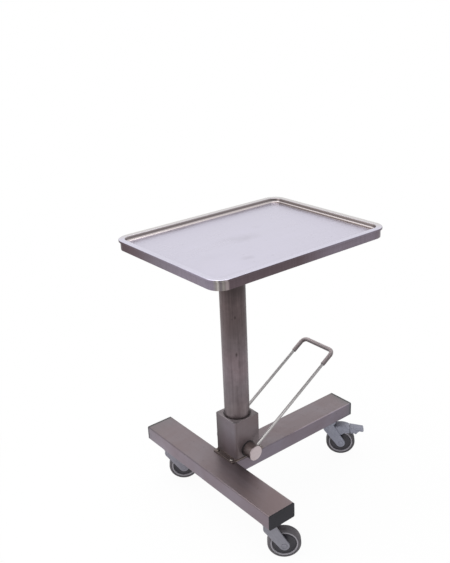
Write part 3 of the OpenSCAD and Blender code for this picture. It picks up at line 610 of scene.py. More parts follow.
def node_tree(name, inputs):
    """An empty geometry tree with named inputs and a metal, and the graph that fills it."""
    tree = bpy.data.node_groups.new(name, "GeometryNodeTree")
    tree.interface.new_socket(name="Geometry", in_out="INPUT", socket_type="NodeSocketGeometry")
    for label, default in inputs:
        made = tree.interface.new_socket(name=label, in_out="INPUT", socket_type="NodeSocketFloat")
        made.default_value = default
    tree.interface.new_socket(name="Metal", in_out="INPUT", socket_type="NodeSocketMaterial")
    tree.interface.new_socket(name="Geometry", in_out="OUTPUT", socket_type="NodeSocketGeometry")
    graph = Graph(tree)
    return graph, graph.node("NodeGroupInput").outputs, graph.node("NodeGroupOutput").inputs


def close_tree(graph, given, made, instances):
    """Ends a tree in Realize Instances and Set Material."""
    real = graph.node("GeometryNodeRealizeInstances", {0: instances.outputs[0]})
    dressed = graph.node("GeometryNodeSetMaterial", {"Geometry": real.outputs[0], "Material": given["Metal"]})
    graph.feed(made[0], dressed.outputs[0])


def evaluated(name, base_mesh, tree_name, values):
    """Runs a node tree on a mesh and returns the result as a plain mesh."""
    tree = bpy.data.node_groups[tree_name]
    helper = bpy.data.objects.new(name + "_helper", base_mesh)
    bpy.context.scene.collection.objects.link(helper)
    modifier = helper.modifiers.new("nodes", "NODES")
    modifier.node_group = tree
    for item in tree.interface.items_tree:
        if item.item_type == "SOCKET" and item.in_out == "INPUT" and item.name in values:
            modifier[item.identifier] = values[item.name]
    bpy.context.view_layer.update()
    depsgraph = bpy.context.evaluated_depsgraph_get()
    mesh = bpy.data.meshes.new_from_object(helper.evaluated_get(depsgraph))
    helper.modifiers.remove(modifier)
    bpy.data.objects.remove(helper)
    return mesh


def build_bead_tree():
    """A welded bead: overlapping drops set closely along the edges of a mesh."""
    graph, given, made = node_tree("Weld bead", [("Radius", 0.002), ("Pitch", 0.0022)])
    path = graph.node("GeometryNodeMeshToCurve", {0: given["Geometry"]})
    spaced = graph.node(
        "GeometryNodeResampleCurve", {"Curve": path.outputs[0], "Length": given["Pitch"]}, mode="LENGTH"
    )
    points = graph.node("GeometryNodeCurveToPoints", {"Curve": spaced.outputs[0]}, mode="EVALUATED")
    drop = graph.node("GeometryNodeMeshIcoSphere", {"Radius": given["Radius"], "Subdivisions": 2})
    uneven = graph.node("FunctionNodeRandomValue", {"Seed": BEAD_SEED}, data_type="FLOAT")
    least, most = [socket for socket in uneven.inputs if socket.type == "VALUE" and socket.enabled][:2]
    least.default_value, most.default_value = DROP_SIZES
    size = next(socket for socket in uneven.outputs if socket.enabled)
    drops = graph.node(
        "GeometryNodeInstanceOnPoints",
        {"Points": points.outputs[0], "Instance": drop.outputs[0], "Scale": size},
    )
    close_tree(graph, given, made, drops)


def build_screw_tree():
    """Button-head screws on the points of a mesh: domed head, socket and shank."""
    graph, given, made = node_tree(
        "Button screws",
        [("Head", 0.0064), ("Socket", 0.0024), ("Shank", 0.004), ("Length", 0.018), ("Turn over", 0.0)],
    )

    def moved(piece, socket, vector):
        return graph.node("GeometryNodeTransform", {"Geometry": piece.outputs[0], socket: vector})

    ball = graph.node("GeometryNodeMeshUVSphere", {"Segments": 32, "Rings": 16, "Radius": given["Head"]})
    dome = moved(ball, "Scale", graph.joined(1.0, 1.0, DOME_FLATNESS))
    thick, tall = graph.times(given["Head"], 2.4), graph.times(given["Head"], 2.0)
    below = graph.node("GeometryNodeMeshCube", {"Size": graph.joined(thick, thick, tall)})
    below = moved(below, "Translation", graph.joined(z=graph.times(tall, -0.5)))
    deep = graph.node(
        "GeometryNodeMeshCylinder", {"Vertices": 6, "Radius": given["Socket"], "Depth": given["Head"]}
    )
    deep = moved(deep, "Translation", graph.joined(z=graph.times(given["Head"], 0.75)))
    head = graph.node("GeometryNodeMeshBoolean", {0: dome.outputs[0]}, operation="DIFFERENCE")
    shank = graph.node(
        "GeometryNodeMeshCylinder", {"Vertices": 24, "Radius": given["Shank"], "Depth": given["Length"]}
    )
    shank = moved(shank, "Translation", graph.joined(z=graph.times(given["Length"], -0.5)))
    whole = graph.node("GeometryNodeJoinGeometry")
    for source, target in ((below, head.inputs[1]), (deep, head.inputs[1]), (head, whole.inputs[0]),
                           (shank, whole.inputs[0])):
        graph.feed(target, source.outputs[0])
    screws = graph.node(
        "GeometryNodeInstanceOnPoints",
        {"Points": given["Geometry"], "Instance": whole.outputs[0], "Rotation": graph.joined(given["Turn over"])},
    )
    close_tree(graph, given, made, screws)


def weld_seam(name, corners, metal, radius, closed=False):
    """A bead on the base along a path of corners."""
    path = bpy.data.meshes.new(name + "_path")
    edges = [(i, i + 1) for i in range(len(corners) - 1)]
    if closed:
        edges.append((len(corners) - 1, 0))
    path.from_pydata([tuple(corner) for corner in corners], edges, [])
    mesh = evaluated(name, path, "Weld bead", {"Radius": radius, "Pitch": radius * BEAD_PITCH, "Metal": metal})
    mesh.name = name
    return adopted(name, mesh, "base", metal, (), smooth=60.0)


# Settings shown in the sidebar


def paint(name, description, default):
    """A colour setting."""
    return FloatVectorProperty(
        name=name, description=description, default=default, subtype="COLOR", min=0, max=1
    )


def measure(name, description, default, least, most):
    """A length setting."""
    return FloatProperty(name=name, description=description, default=default, min=least, max=most, unit="LENGTH")


def watts(name, description, default):
    """A lamp's power setting."""
    return FloatProperty(
        name=name, description=description, default=default, min=0, max=500, subtype="POWER", unit="POWER"
    )


def heading(name, description, degrees):
    """An angle setting."""
    return FloatProperty(name=name, description=description, default=math.radians(degrees), subtype="ANGLE")


class BaseLooks(PropertyGroup):
    tube_colour: paint("Tube colour", "Satin steel of the base tubes", (0.245, 0.21, 0.225))
    housing_colour: paint("Housing colour", "Satin steel of the pump housing", (0.19, 0.163, 0.168))
    plug_colour: paint("Plug colour", "Plastic of the tube ends", (0.009, 0.0085, 0.0145))
    bead_radius: measure("Weld bead", "Radius of the welded seams", 0.0016, 0.0005, 0.004)
    edge_radius: measure("Housing edge", "Rounding of the pump housing's top edge", 0.0022, 0.0005, 0.004)


class ColumnLooks(PropertyGroup):
    tube_colour: paint("Column colour", "Satin steel of the outer tube", (0.180, 0.154, 0.166))
    mast_colour: paint("Mast colour", "Polished steel of the rising mast", (0.60, 0.58, 0.58))


class PedalLooks(PropertyGroup):
    bar_colour: paint("Bar colour", "Polished steel of the pedal's bar", (0.45, 0.435, 0.437))
    sleeve_colour: paint("Sleeve colour", "Rubber of the foot sleeve", (0.30, 0.262, 0.268))
    hub_colour: paint("Hub colour", "Turned steel of the hubs", (0.132, 0.108, 0.110))


class TrayLooks(PropertyGroup):
    tray_colour: paint("Tray colour", "Satin steel of the tray", (0.585, 0.572, 0.695))
    band_colour: paint("Band colour", "Satin steel of the frame under the tray", (0.20, 0.172, 0.182))
    rim_width: measure("Rim", "Width of the tray's flat rim", 0.020, 0.01, 0.03)
    depth: measure("Depth", "Depth of the tray's floor below its rim", 0.014, 0.01, 0.02)
    corner_steps: IntProperty(
        name="Corner steps", description="Faces round each corner", default=20, min=6, max=48
    )


class CasterLooks(PropertyGroup):
    fork_colour: paint("Fork colour", "Moulded plastic of the forks", (0.220, 0.216, 0.257))
    # A lighter, bluer copy of the fork colour: painted light on the braked fork
    braked_lit_colour: paint("Braked fork colour", "Plastic of the braked fork", (0.275, 0.284, 0.352))
    tyre_colour: paint("Tyre colour", "Rubber of the tyres", (0.086, 0.079, 0.090))
    rim_colour: paint("Rim colour", "Plastic of the wheel rims", (0.340, 0.323, 0.358))
    disc_colour: paint("Disc colour", "Plastic of the wheel discs", (0.012, 0.010, 0.020))
    edge_radius: measure("Fork edge", "Rounding of the moulded edges", 0.0016, 0.0003, 0.003)
    wheel_steps: IntProperty(name="Wheel steps", description="Faces round a wheel", default=112, min=32, max=200)


class StageLooks(PropertyGroup):
    camera_place: FloatVectorProperty(
        name="Camera", description="Camera place from the column's foot", default=(-1.2949, -1.6416, 1.641),
        subtype="TRANSLATION", unit="LENGTH",
    )
    yaw: heading("Yaw", "Viewing direction from +X towards +Y", 52.302)
    pitch: heading("Pitch", "Viewing direction below level", 21.8)
    roll: heading("Roll", "Turn about the viewing direction", -2.517)
    lens: FloatProperty(
        name="Lens", description="Focal length on a frame 36 mm high", default=47.73, min=20, max=200,
        subtype="DISTANCE_CAMERA",
    )
    dark_side: FloatProperty(
        name="Dark side", description="What metal mirrors on the camera's side", default=0.55, min=0, max=1
    )
    fill: FloatProperty(name="Fill", description="Light from all round", default=0.66, min=0, max=2)
    key_power: watts("Key lamp", "Power of the large overhead lamp", 62.0)
    side_power: watts("Side lamp", "Power of the lamp at the left", 14.0)


class TableLooks(PropertyGroup):
    base: PointerProperty(type=BaseLooks)
    column: PointerProperty(type=ColumnLooks)
    pedal: PointerProperty(type=PedalLooks)
    tray: PointerProperty(type=TrayLooks)
    casters: PointerProperty(type=CasterLooks)
    stage: PointerProperty(type=StageLooks)


# Operators


class TABLE_OT_finishes(Operator):
    """Builds the shared shader groups and node trees"""

    bl_idname = "table.finishes"
    bl_label = "Finishes"

    def execute(self, context):
        for build in (
            build_brushed_grain, build_handling_marks, build_worn_edges, build_corner_grime_and_shade, build_deep_shade,
            build_room_tones, build_moulded_skin, build_bead_tree, build_screw_tree,
        ):
            build()
        return {"FINISHED"}


class TABLE_OT_stage(Operator):
    """Sets up the camera, the floor, the surroundings and the lamps"""

    bl_idname = "table.stage"
    bl_label = "Stage"

    def execute(self, context):
        looks = context.scene.table_looks.stage
        self.camera(context, looks)
        self.floor()
        self.surroundings(context, looks)
        self.lamp("key lamp", *KEY_LAMP, looks.key_power)
        self.lamp("side lamp", *SIDE_LAMP, looks.side_power)
        context.scene.view_settings.view_transform = "Standard"
        return {"FINISHED"}

    def camera(self, context, looks):
        ahead = Vector((
            math.cos(looks.yaw) * math.cos(looks.pitch),
            math.sin(looks.yaw) * math.cos(looks.pitch),
            -math.sin(looks.pitch),
        ))
        level = Vector((math.sin(looks.yaw), -math.cos(looks.yaw), 0))
        upright = level.cross(ahead)
        right = math.cos(looks.roll) * level + math.sin(looks.roll) * upright
        up = -math.sin(looks.roll) * level + math.cos(looks.roll) * upright
        place = Vector((AXIS.x, AXIS.y, 0)) + Vector(looks.camera_place)
        data = bpy.data.cameras.new("camera")
        data.sensor_fit = "VERTICAL"
        data.sensor_height = SENSOR_HEIGHT
        data.lens = looks.lens
        data.clip_end = VIEW_END
        camera = bpy.data.objects.new("camera", data)
        turned = Matrix((right, up, -ahead)).transposed().to_4x4()
        camera.matrix_world = Matrix.Translation(place) @ turned
        context.scene.collection.objects.link(camera)
        context.scene.camera = camera

    def floor(self):
        """A white disc that shows only the shade near the table."""
        shape = bmesh.new()
        bmesh.ops.create_circle(shape, cap_ends=True, radius=FLOOR_RADIUS, segments=FLOOR_STEPS)
        mesh = bpy.data.meshes.new("floor")
        shape.to_mesh(mesh)
        shape.free()
        floor = bpy.data.objects.new("floor", mesh)
        bpy.context.scene.collection.objects.link(floor)
        material, graph, where = new_material("floor white")
        paths = graph.node("ShaderNodeLightPath").outputs
        lit = graph.node("ShaderNodeBsdfDiffuse", {"Color": (0.93, 0.93, 0.93, 1.0)})
        pale = graph.node("ShaderNodeEmission", {"Color": WHITE, "Strength": 1.0})
        seen = graph.plus(paths["Is Camera Ray"], paths["Is Glossy Ray"], clamp=True)
        seen = graph.plus(seen, paths["Is Transmission Ray"], clamp=True)
        share = graph.times(seen, graph.span(graph.length(where), 0.45, 1.1, 0.95, 1.0))
        both = graph.node("ShaderNodeMixShader", {0: share, 1: lit.outputs[0], 2: pale.outputs[0]})
        close_material(graph, both)
        mesh.materials.append(material)

    def surroundings(self, context, looks):
        """White all round, darker for what metal mirrors on one side."""
        world = bpy.data.worlds.new("white studio")
        context.scene.world = world
        world.use_nodes = True
        world.node_tree.nodes.clear()
        graph = Graph(world.node_tree)
        paths = graph.node("ShaderNodeLightPath").outputs
        white = graph.plus(paths["Is Camera Ray"], paths["Is Transmission Ray"], clamp=True)
        way = graph.node("ShaderNodeTexCoord").outputs["Generated"]
        ahead = (math.cos(looks.yaw), math.sin(looks.yaw), 0.0)
        mirrored = graph.span(graph.dot(way, ahead), -0.9, 0.3, looks.dark_side, 1.0)
        glossy = paths["Is Glossy Ray"]
        strength = graph.plus(graph.times(glossy, mirrored), graph.times(graph.rest(glossy), looks.fill))
        strength = graph.plus(graph.times(graph.rest(white), strength), white)
        back = graph.node("ShaderNodeBackground", {"Color": WHITE, "Strength": strength})
        graph.node("ShaderNodeOutputWorld", {"Surface": back.outputs[0]})

    def lamp(self, name, place, size, power):
        """A square lamp that looks at the middle of the table."""
        data = bpy.data.lights.new(name, "AREA")
        data.shape = "SQUARE"
        data.size = size
        data.energy = power
        lamp = bpy.data.objects.new(name, data)
        lamp.location = place
        lamp.rotation_euler = (Vector(place) - LAMP_TARGET).to_track_quat("Z", "Y").to_euler()
        bpy.context.scene.collection.objects.link(lamp)


class TABLE_OT_base(Operator):
    """Dresses the T-shaped base and welds its joint"""

    bl_idname = "table.base"
    bl_label = "Base tubes"

    def execute(self, context):
        looks = context.scene.table_looks.base
        for node, lay, wear, edge, tones in (
            ("cross_tube", "y", 0.12, 0.003, self.cross_tones), ("stem_tube", "x", 0.4, 0.002, self.stem_tones),
        ):
            metal = steel(
                node.replace("_", " ") + " steel", looks.tube_colour, lay, rough=0.40, cloud=0.12,
                streak=0.08, wear=wear, edge=edge, extra=tones,
            )
            dress(metal, node)
        plug = plastic("plug plastic", looks.plug_colour, rough=0.42, drift=0.25, dusty=0.015, shine=0.22)
        dress(plug, "end_plugs")
        seam = steel("weld steel", (0.30, 0.26, 0.24), "x", rough=0.42, streak=0.2, cloud=0.2, grime_and_shade=0.8)
        low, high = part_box("stem_tube")
        under = low.z + looks.bead_radius
        for name, start, end in (
            ("left", (high.y, low.z + TUBE_CORNER), (high.y, high.z - TUBE_CORNER)),
            ("right", (low.y, low.z + TUBE_CORNER), (low.y, high.z - TUBE_CORNER)),
            ("under", (low.y + TUBE_CORNER, under), (high.y - TUBE_CORNER, under)),
        ):
            weld_seam("t_joint_seam_" + name, [(low.x, *start), (low.x, *end)], seam, looks.bead_radius)
        return {"FINISHED"}

    def cross_tones(self, graph, where, base):
        """Painted light: a painted highlight on the top at the near end, a bluer painted reflection on the side,
        painted shade along the upper edge and a painted highlight on the side at the far end; and a greyer far end
        with a dark cut edge.
        """
        along = graph.split(where)[1]
        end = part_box("cross_tube")[1].y
        near = graph.span(along, AXIS.y - 0.05, AXIS.y - 0.24)
        away = graph.span(along, AXIS.y + 0.05, AXIS.y + 0.2)
        greyer = graph.times(graph.span(along, end - 0.07, end - 0.005), 0.6)
        return toned(
            graph, base,
            (graph.times(near, facing(graph, UP)), (1.30, 1.27, 1.25)),
            (facing(graph, MINUS_X, 0.9, 0.99), (0.97, 0.96, 1.06)),
            (facing(graph, (-0.71, 0.0, 0.71), 0.78, 0.97), (0.66, 0.67, 0.70)),
            (graph.times(facing(graph, MINUS_X), away), (1.12, 1.13, 1.13)),
            (greyer, (0.86, 0.92, 0.90)),
            (graph.span(along, end - 6.0 * MM, end - 4.0 * MM), (0.60, 0.65, 0.62)),
        )

    def stem_tones(self, graph, where, base):
        """Painted shade, duller and bluer, on the side, a painted highlight along the upper edge, and a greyer far
        end with a dark cut edge.
        """
        along = graph.split(where)[0]
        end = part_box("stem_tube")[1].x
        broken = graph.span(graph.noise(where, 18.0, 3.0), 0.3, 0.7, 0.55, 1.0)
        greyer = graph.times(graph.span(along, end - 0.028, end - 0.004), broken)
        outer = graph.span(along, along_box("stem_tube", 0, 0.42), along_box("stem_tube", 0, 0.55))
        return toned(
            graph, base,
            (facing(graph, MINUS_Y), (0.77, 0.78, 0.88)),
            (greyer, (0.80, 0.88, 0.84)),
            (graph.times(facing(graph, (0.0, -0.6, 0.8), 0.80, 0.97), outer), (1.60, 1.62, 1.66)),
            (graph.span(along, end - 5.5 * MM, end - 3.8 * MM), (0.56, 0.61, 0.59)),
        )


class TABLE_OT_housing(Operator):
    """Builds the pump housing as one welded shell and sets it on its foot plate"""

    bl_idname = "table.housing"
    bl_label = "Pump housing"

    def execute(self, context):
        looks = context.scene.table_looks.base
        metal = steel(
            "housing steel", looks.housing_colour, "z", rough=0.42, cloud=0.14, streak=0.09, shade=0.12,
            grime_and_shade=0.12, edge=None, metallic=0.4, extra=self.tones,
        )
        low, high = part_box("pump_housing")[0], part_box("housing_collar")[1]
        half = (high.x - low.x) / 2
        shape = bmesh.new()
        sweep(shape, self.rings(half, low.z, high.z, looks.edge_radius))
        finished(
            "housing_shell", shape, "base", metal, ("pump_housing", "housing_collar"), smooth=28.0
        )
        dress(
            steel("foot plate steel", (0.215, 0.18, 0.175), "y", rough=0.42, grime_and_shade=0.35, shade=0.2, wear=0.1),
            "foot_plate",
        )
        dress(plastic("seal rubber", (0.075, 0.062, 0.066), rough=0.5, grime_and_shade=0.1), "collar_seal")
        seam = steel("housing weld steel", (0.16, 0.13, 0.12), "x", rough=0.45, streak=0.2, cloud=0.2, grime_and_shade=0.8)
        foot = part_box("foot_plate")[1].z + looks.bead_radius * SEAM_LIFT
        outline = self.outline(half, HOUSING_CORNER, foot, SEAM_STEPS, 1)
        weld_seam("housing_seam", outline, seam, looks.bead_radius, closed=True)
        return {"FINISHED"}

    def outline(self, half, reach, height, steps, side_steps):
        """The housing's square, round the column's axis, with its wider near corner."""
        points = ring_points(half, half, HOUSING_CORNER, reach, height, steps, side_steps, NEAR_CORNER_MORE)
        return [point + Vector((AXIS.x, AXIS.y, 0)) for point in points]

    def rings(self, half, foot, top, edge):
        """Walls, a rounded top edge, the top face, and the hole with the seal's seat."""
        levels = [(HOUSING_CORNER, foot)]
        for degrees in range(0, 91, EDGE_STEP):
            angle = math.radians(degrees)
            levels.append((HOUSING_CORNER - edge + edge * math.cos(angle), top - edge + edge * math.sin(angle)))
        rings = [self.outline(half, reach, height, HOUSING_STEPS, HOUSING_STEPS) for reach, height in levels]
        seal_low, seal_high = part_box("collar_seal")
        hole = (seal_high.x - seal_low.x) / 2
        tube = (COLUMN_HIGH.x - COLUMN_LOW.x) / 2
        centre = Vector((AXIS.x, AXIS.y, 0))
        ways = [(Vector((point.x, point.y, 0)) - centre).normalized() for point in rings[-1]]
        seat = [(hole + wide, top + up) for wide, up in SEAL_SEAT]
        for radius, height in seat + [(hole, seal_low.z), (tube, seal_low.z)]:
            rings.append([centre + way * radius + Vector((0, 0, height)) for way in ways])
        return rings

    def tones(self, graph, where, base):
        """Painted light: a cooler top, painted shade along the upper edge, a painted highlight on the top round the
        column, painted shade on both sides, bluer on the left; brownish staining towards the foot, and the left
        side darker towards the bottom and towards the back.
        """
        _, across, height = graph.split(where)
        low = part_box("pump_housing")[0].z
        top = facing(graph, UP)
        left = facing(graph, MINUS_X, 0.6, 0.95)
        moved = graph.vector("SUBTRACT", where, tuple(at_column(0, 0, 0)))
        out = graph.length(graph.vector("MULTIPLY", moved, (1.0, 1.0, 0.0)))
        broken = graph.span(graph.noise(where, 26.0, 3.0), 0.35, 0.65)
        foot = graph.times(graph.span(height, low + 0.045, low), broken)
        lower = graph.span(height, low + 0.10, low + 0.02, 0.0, 0.8)
        outer = graph.span(across, AXIS.y + 0.005, AXIS.y + 0.048)
        return toned(
            graph, base,
            (top, (0.86, 0.94, 0.98)),
            (facing(graph, (-0.45, -0.45, 0.77), 0.88, 0.97), (0.72, 0.72, 0.74)),
            (graph.times(top, graph.span(out, 0.066, 0.047)), (1.85, 1.80, 1.80)),
            (facing(graph, MINUS_Y, 0.5, 1.0), (0.88, 0.85, 0.90)),
            (facing(graph, MINUS_X, 0.5, 1.0), (0.92, 0.94, 1.06)),
            (foot, (0.80, 0.72, 0.64)),
            (graph.times(lower, left), (0.78, 0.74, 0.72)),
            (graph.times(outer, left), (0.74, 0.78, 0.72)),
        )


class TABLE_OT_screws(Operator):
    """Sets button-head screws into the foot plate and the head plate"""

    bl_idname = "table.screws"
    bl_label = "Screws"

    def execute(self, context):
        metal = steel("screw steel", (0.31, 0.285, 0.27), "x", rough=0.36, grime_and_shade=0.8, extra=self.shaded_far_screws)
        self.row("foot_screws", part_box("foot_plate")[1].z, False, "base", metal)
        self.row("head_screws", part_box("head_plate")[0].z, True, "mast", metal)
        return {"FINISHED"}

    def row(self, node, seat, hanging, body, metal):
        """Four screws in the corners of a node's box, on a seat and upright or hanging."""
        low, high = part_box(node)
        sides = [(low[axis] + SCREW_HEAD, high[axis] - SCREW_HEAD) for axis in (0, 1)]
        points = bpy.data.meshes.new(node + "_points")
        points.from_pydata([(x, y, seat) for x in sides[0] for y in sides[1]], [], [])
        length = (high.z - seat) if hanging else (seat - low.z)
        mesh = evaluated(
            node, points, "Button screws",
            {"Head": SCREW_HEAD, "Socket": SCREW_SOCKET, "Shank": SCREW_SHANK, "Length": length - SCREW_PLAY,
             "Turn over": math.pi if hanging else 0.0, "Metal": metal},
        )
        adopted(node.replace("_", "_button_"), mesh, body, metal, (node,), smooth=40.0)

    def shaded_far_screws(self, graph, where, base):
        """All but the screws on the near side are darkened by painted shade."""
        far_side = graph.span(graph.split(where)[1], AXIS.y - 0.02, AXIS.y)
        return toned(graph, base, (far_side, (0.52, 0.48, 0.46)))


class TABLE_OT_column(Operator):
    """Dresses the outer tube, the rising mast and what is inside them"""

    bl_idname = "table.column"
    bl_label = "Column"

    def execute(self, context):
        looks = context.scene.table_looks.column
        outer = steel(
            "column steel", looks.tube_colour, "z", rough=0.40, cloud=0.12, streak=0.10, grime_and_shade=0.3,
            shade=0.25, warm=(0.92, 0.80, 0.76), extra=self.aged_and_shaded,
        )
        dress(outer, "column_tube")
        polished = steel(
            "mast steel", looks.mast_colour, "z", rough=0.16, cloud=0.03, streak=0.03, grime_and_shade=0.3,
            warm=(0.95, 0.95, 0.96),
        )
        dress(polished, "mast_tube", "piston_rod", "pump_plunger", "plunger_spring", "stem_nuts")
        black = plastic("bush plastic", (0.022, 0.021, 0.023), rough=0.4, drift=0.2)
        dress(black, "column_bush", "mast_bush", "shaft_bushes")
        machined = steel("machined steel", (0.30, 0.28, 0.27), "x", rough=0.33, streak=0.05, cloud=0.05)
        dress(
            machined, "pump_body", "pump_barrel", "hydraulic_cylinder", "cylinder_gland", "piston", "head_plug",
            "pedal_shaft", "pedal_cam",
        )
        dress(steel("washer bronze", (0.52, 0.32, 0.14), "x", rough=0.35, warm=(0.9, 0.8, 0.6)), "thrust_washer")
        return {"FINISHED"}

    def aged_and_shaded(self, graph, where, base):
        """Upright streaks and blotches; painted shade over the upper half, deeper on the side away from the light,
        and the tray's painted shadow at the top; a browner tone on the upper half, a paler band at mid height, then
        the marks and the foot.
        """
        moved = graph.vector("SUBTRACT", where, tuple(at_column(0.0, 0.0, 0.0)))
        height = graph.split(moved)[2]
        drawn = graph.node("ShaderNodeMapping", {"Vector": moved, "Scale": (1.0, 1.0, 0.03)}).outputs[0]
        upright = graph.span(graph.noise(drawn, 150.0, 3.0, 0.6), 0.30, 0.70, 0.84, 1.14)
        blotch = graph.span(graph.noise(moved, 55.0, 4.0, 0.62), 0.30, 0.70, 0.90, 1.08)
        lit = graph.span(graph.dot(moved, (-19.3, 14.9, 0.0)), 0.15, 0.85)
        upper = graph.times(graph.span(height, 0.53, 0.66), graph.span(lit, 0.0, 1.0, 0.36, 0.12))
        under = graph.times(graph.span(height, 0.742, 0.790), graph.span(lit, 0.0, 1.0, 0.42, 0.26))
        keep = graph.times(graph.rest(upper), graph.rest(under))
        keep = graph.times(graph.times(keep, upright), blotch)
        base = graph.node("ShaderNodeVectorMath", {0: base, "Scale": keep}, operation="SCALE").outputs[0]
        base = toned(
            graph, base,
            (graph.span(height, 0.57, 0.66), (0.96, 0.90, 0.86)),
            (graph.band(height, 0.46, 0.50, 0.56, 0.60), (1.14, 1.11, 1.13)),
        )
        return self.stains_and_lit_foot(graph, where, base)

    def stains_and_lit_foot(self, graph, where, base):
        """Two small dark marks, two faint runs below them, and a broken painted highlight that makes the foot
        paler.
        """
        marks = (
            ((-21.3, -35.0, 701.0), (5.0, 5.0, 8.0), 0.75), ((-21.2, -35.1, 576.0), (5.0, 5.0, 11.0), 0.7),
            ((-15.0, -38.0, 544.0), (4.0, 4.0, 30.0), 0.25), ((-24.0, -33.0, 434.0), (9.0, 9.0, 60.0), 0.18),
        )
        base = stained(graph, where, base, marks, (260.0, 2.0, 0.9), (1.35, 0.75), (0.045, 0.035, 0.034, 1.0))
        foot = graph.span(graph.split(where)[2], 0.42, 0.33)
        broken = graph.times(foot, graph.span(graph.noise(where, 22.0, 3.0), 0.3, 0.8))
        return graph.mix(graph.times(broken, 0.35, clamp=True), base, (0.30, 0.27, 0.24, 1.0))


class TABLE_OT_pedal(Operator):
    """Dresses the foot pedal: hubs, caps, bar and sleeve"""

    bl_idname = "table.pedal"
    bl_label = "Foot pedal"

    def execute(self, context):
        looks = context.scene.table_looks.pedal
        bar = steel(
            "pedal bar steel", looks.bar_colour, "x", rough=0.24, streak=0.01, cloud=0.01, edge=None,
            metallic=0.3, extra=self.bar_tones,
        )
        dress(bar, "pedal_bar")
        sleeve = plastic(
            "sleeve rubber", looks.sleeve_colour, rough=0.30, drift=0.12, pebble=700.0, bump=0.08,
            extra=self.sleeve_tones,
        )
        dress(sleeve, "foot_sleeve")
        hub = steel(
            "hub steel", looks.hub_colour, "y", rough=0.36, streak=0.14, cloud=0.16, grime_and_shade=0.4,
            shade=0.25, metallic=0.5, extra=self.hub_tones,
        )
        dress(hub, "pedal_hubs")
        dress(steel("cap steel", (0.50, 0.44, 0.45), "x", rough=0.30, cloud=0.1, warm=(0.9, 0.8, 0.8)), "hub_caps")
        return {"FINISHED"}

    def bar_tones(self, graph, where, base):
        """Painted reflections on a polished rod: painted shade along both flanks, and a painted highlight on the
        lower half.
        """
        lower = graph.span(
            graph.split(where)[2], along_box("pedal_bar", 2, 0.62), along_box("pedal_bar", 2, 0.12)
        )
        return toned(
            graph, base,
            (facing(graph, (0.414, -0.645, -0.644), 0.35, 0.85), (0.58, 0.56, 0.56)),
            (facing(graph, (-0.414, 0.645, 0.644), 0.55, 0.9), (0.84, 0.83, 0.83)),
            (graph.times(lower, facing(graph, (-0.55, -0.62, 0.56), 0.80, 0.97)), (1.85, 1.82, 1.80)),
        )

    def sleeve_tones(self, graph, where, base):
        """Painted shade on the sleeve's underside and a painted highlight on its upper side."""
        return toned(
            graph, base,
            (facing(graph, (-0.45, -0.50, -0.74), -0.05, 0.5), (0.34, 0.28, 0.29)),
            (facing(graph, (0.05, 0.30, 0.95), 0.40, 0.85), (1.55, 1.50, 1.50)),
        )

    def hub_tones(self, graph, where, base):
        """Painted shade on a hub's underside and a painted highlight on its top."""
        return toned(
            graph, base,
            (facing(graph, DOWN, -0.35, 0.55), (0.34, 0.31, 0.32)),
            (facing(graph, (-0.35, 0.0, 0.94), 0.80, 0.99), (1.45, 1.45, 1.42)),
        )


class TABLE_OT_tray_frame(Operator):
    """Dresses the frame, its rails and the head plate"""

    bl_idname = "table.tray_frame"
    bl_label = "Tray frame"

    def execute(self, context):
        looks = context.scene.table_looks.tray
        band = steel(
            "band steel", looks.band_colour, "x", rough=0.34, streak=0.12, cloud=0.1, edge=0.0006,
            warm=(0.88, 0.80, 0.76), extra=under_room,
        )
        dress(band, "tray_frame")
        dress(steel("rail steel", (0.22, 0.20, 0.20), "x", rough=0.40), "tray_rails", "head_plate")
        return {"FINISHED"}


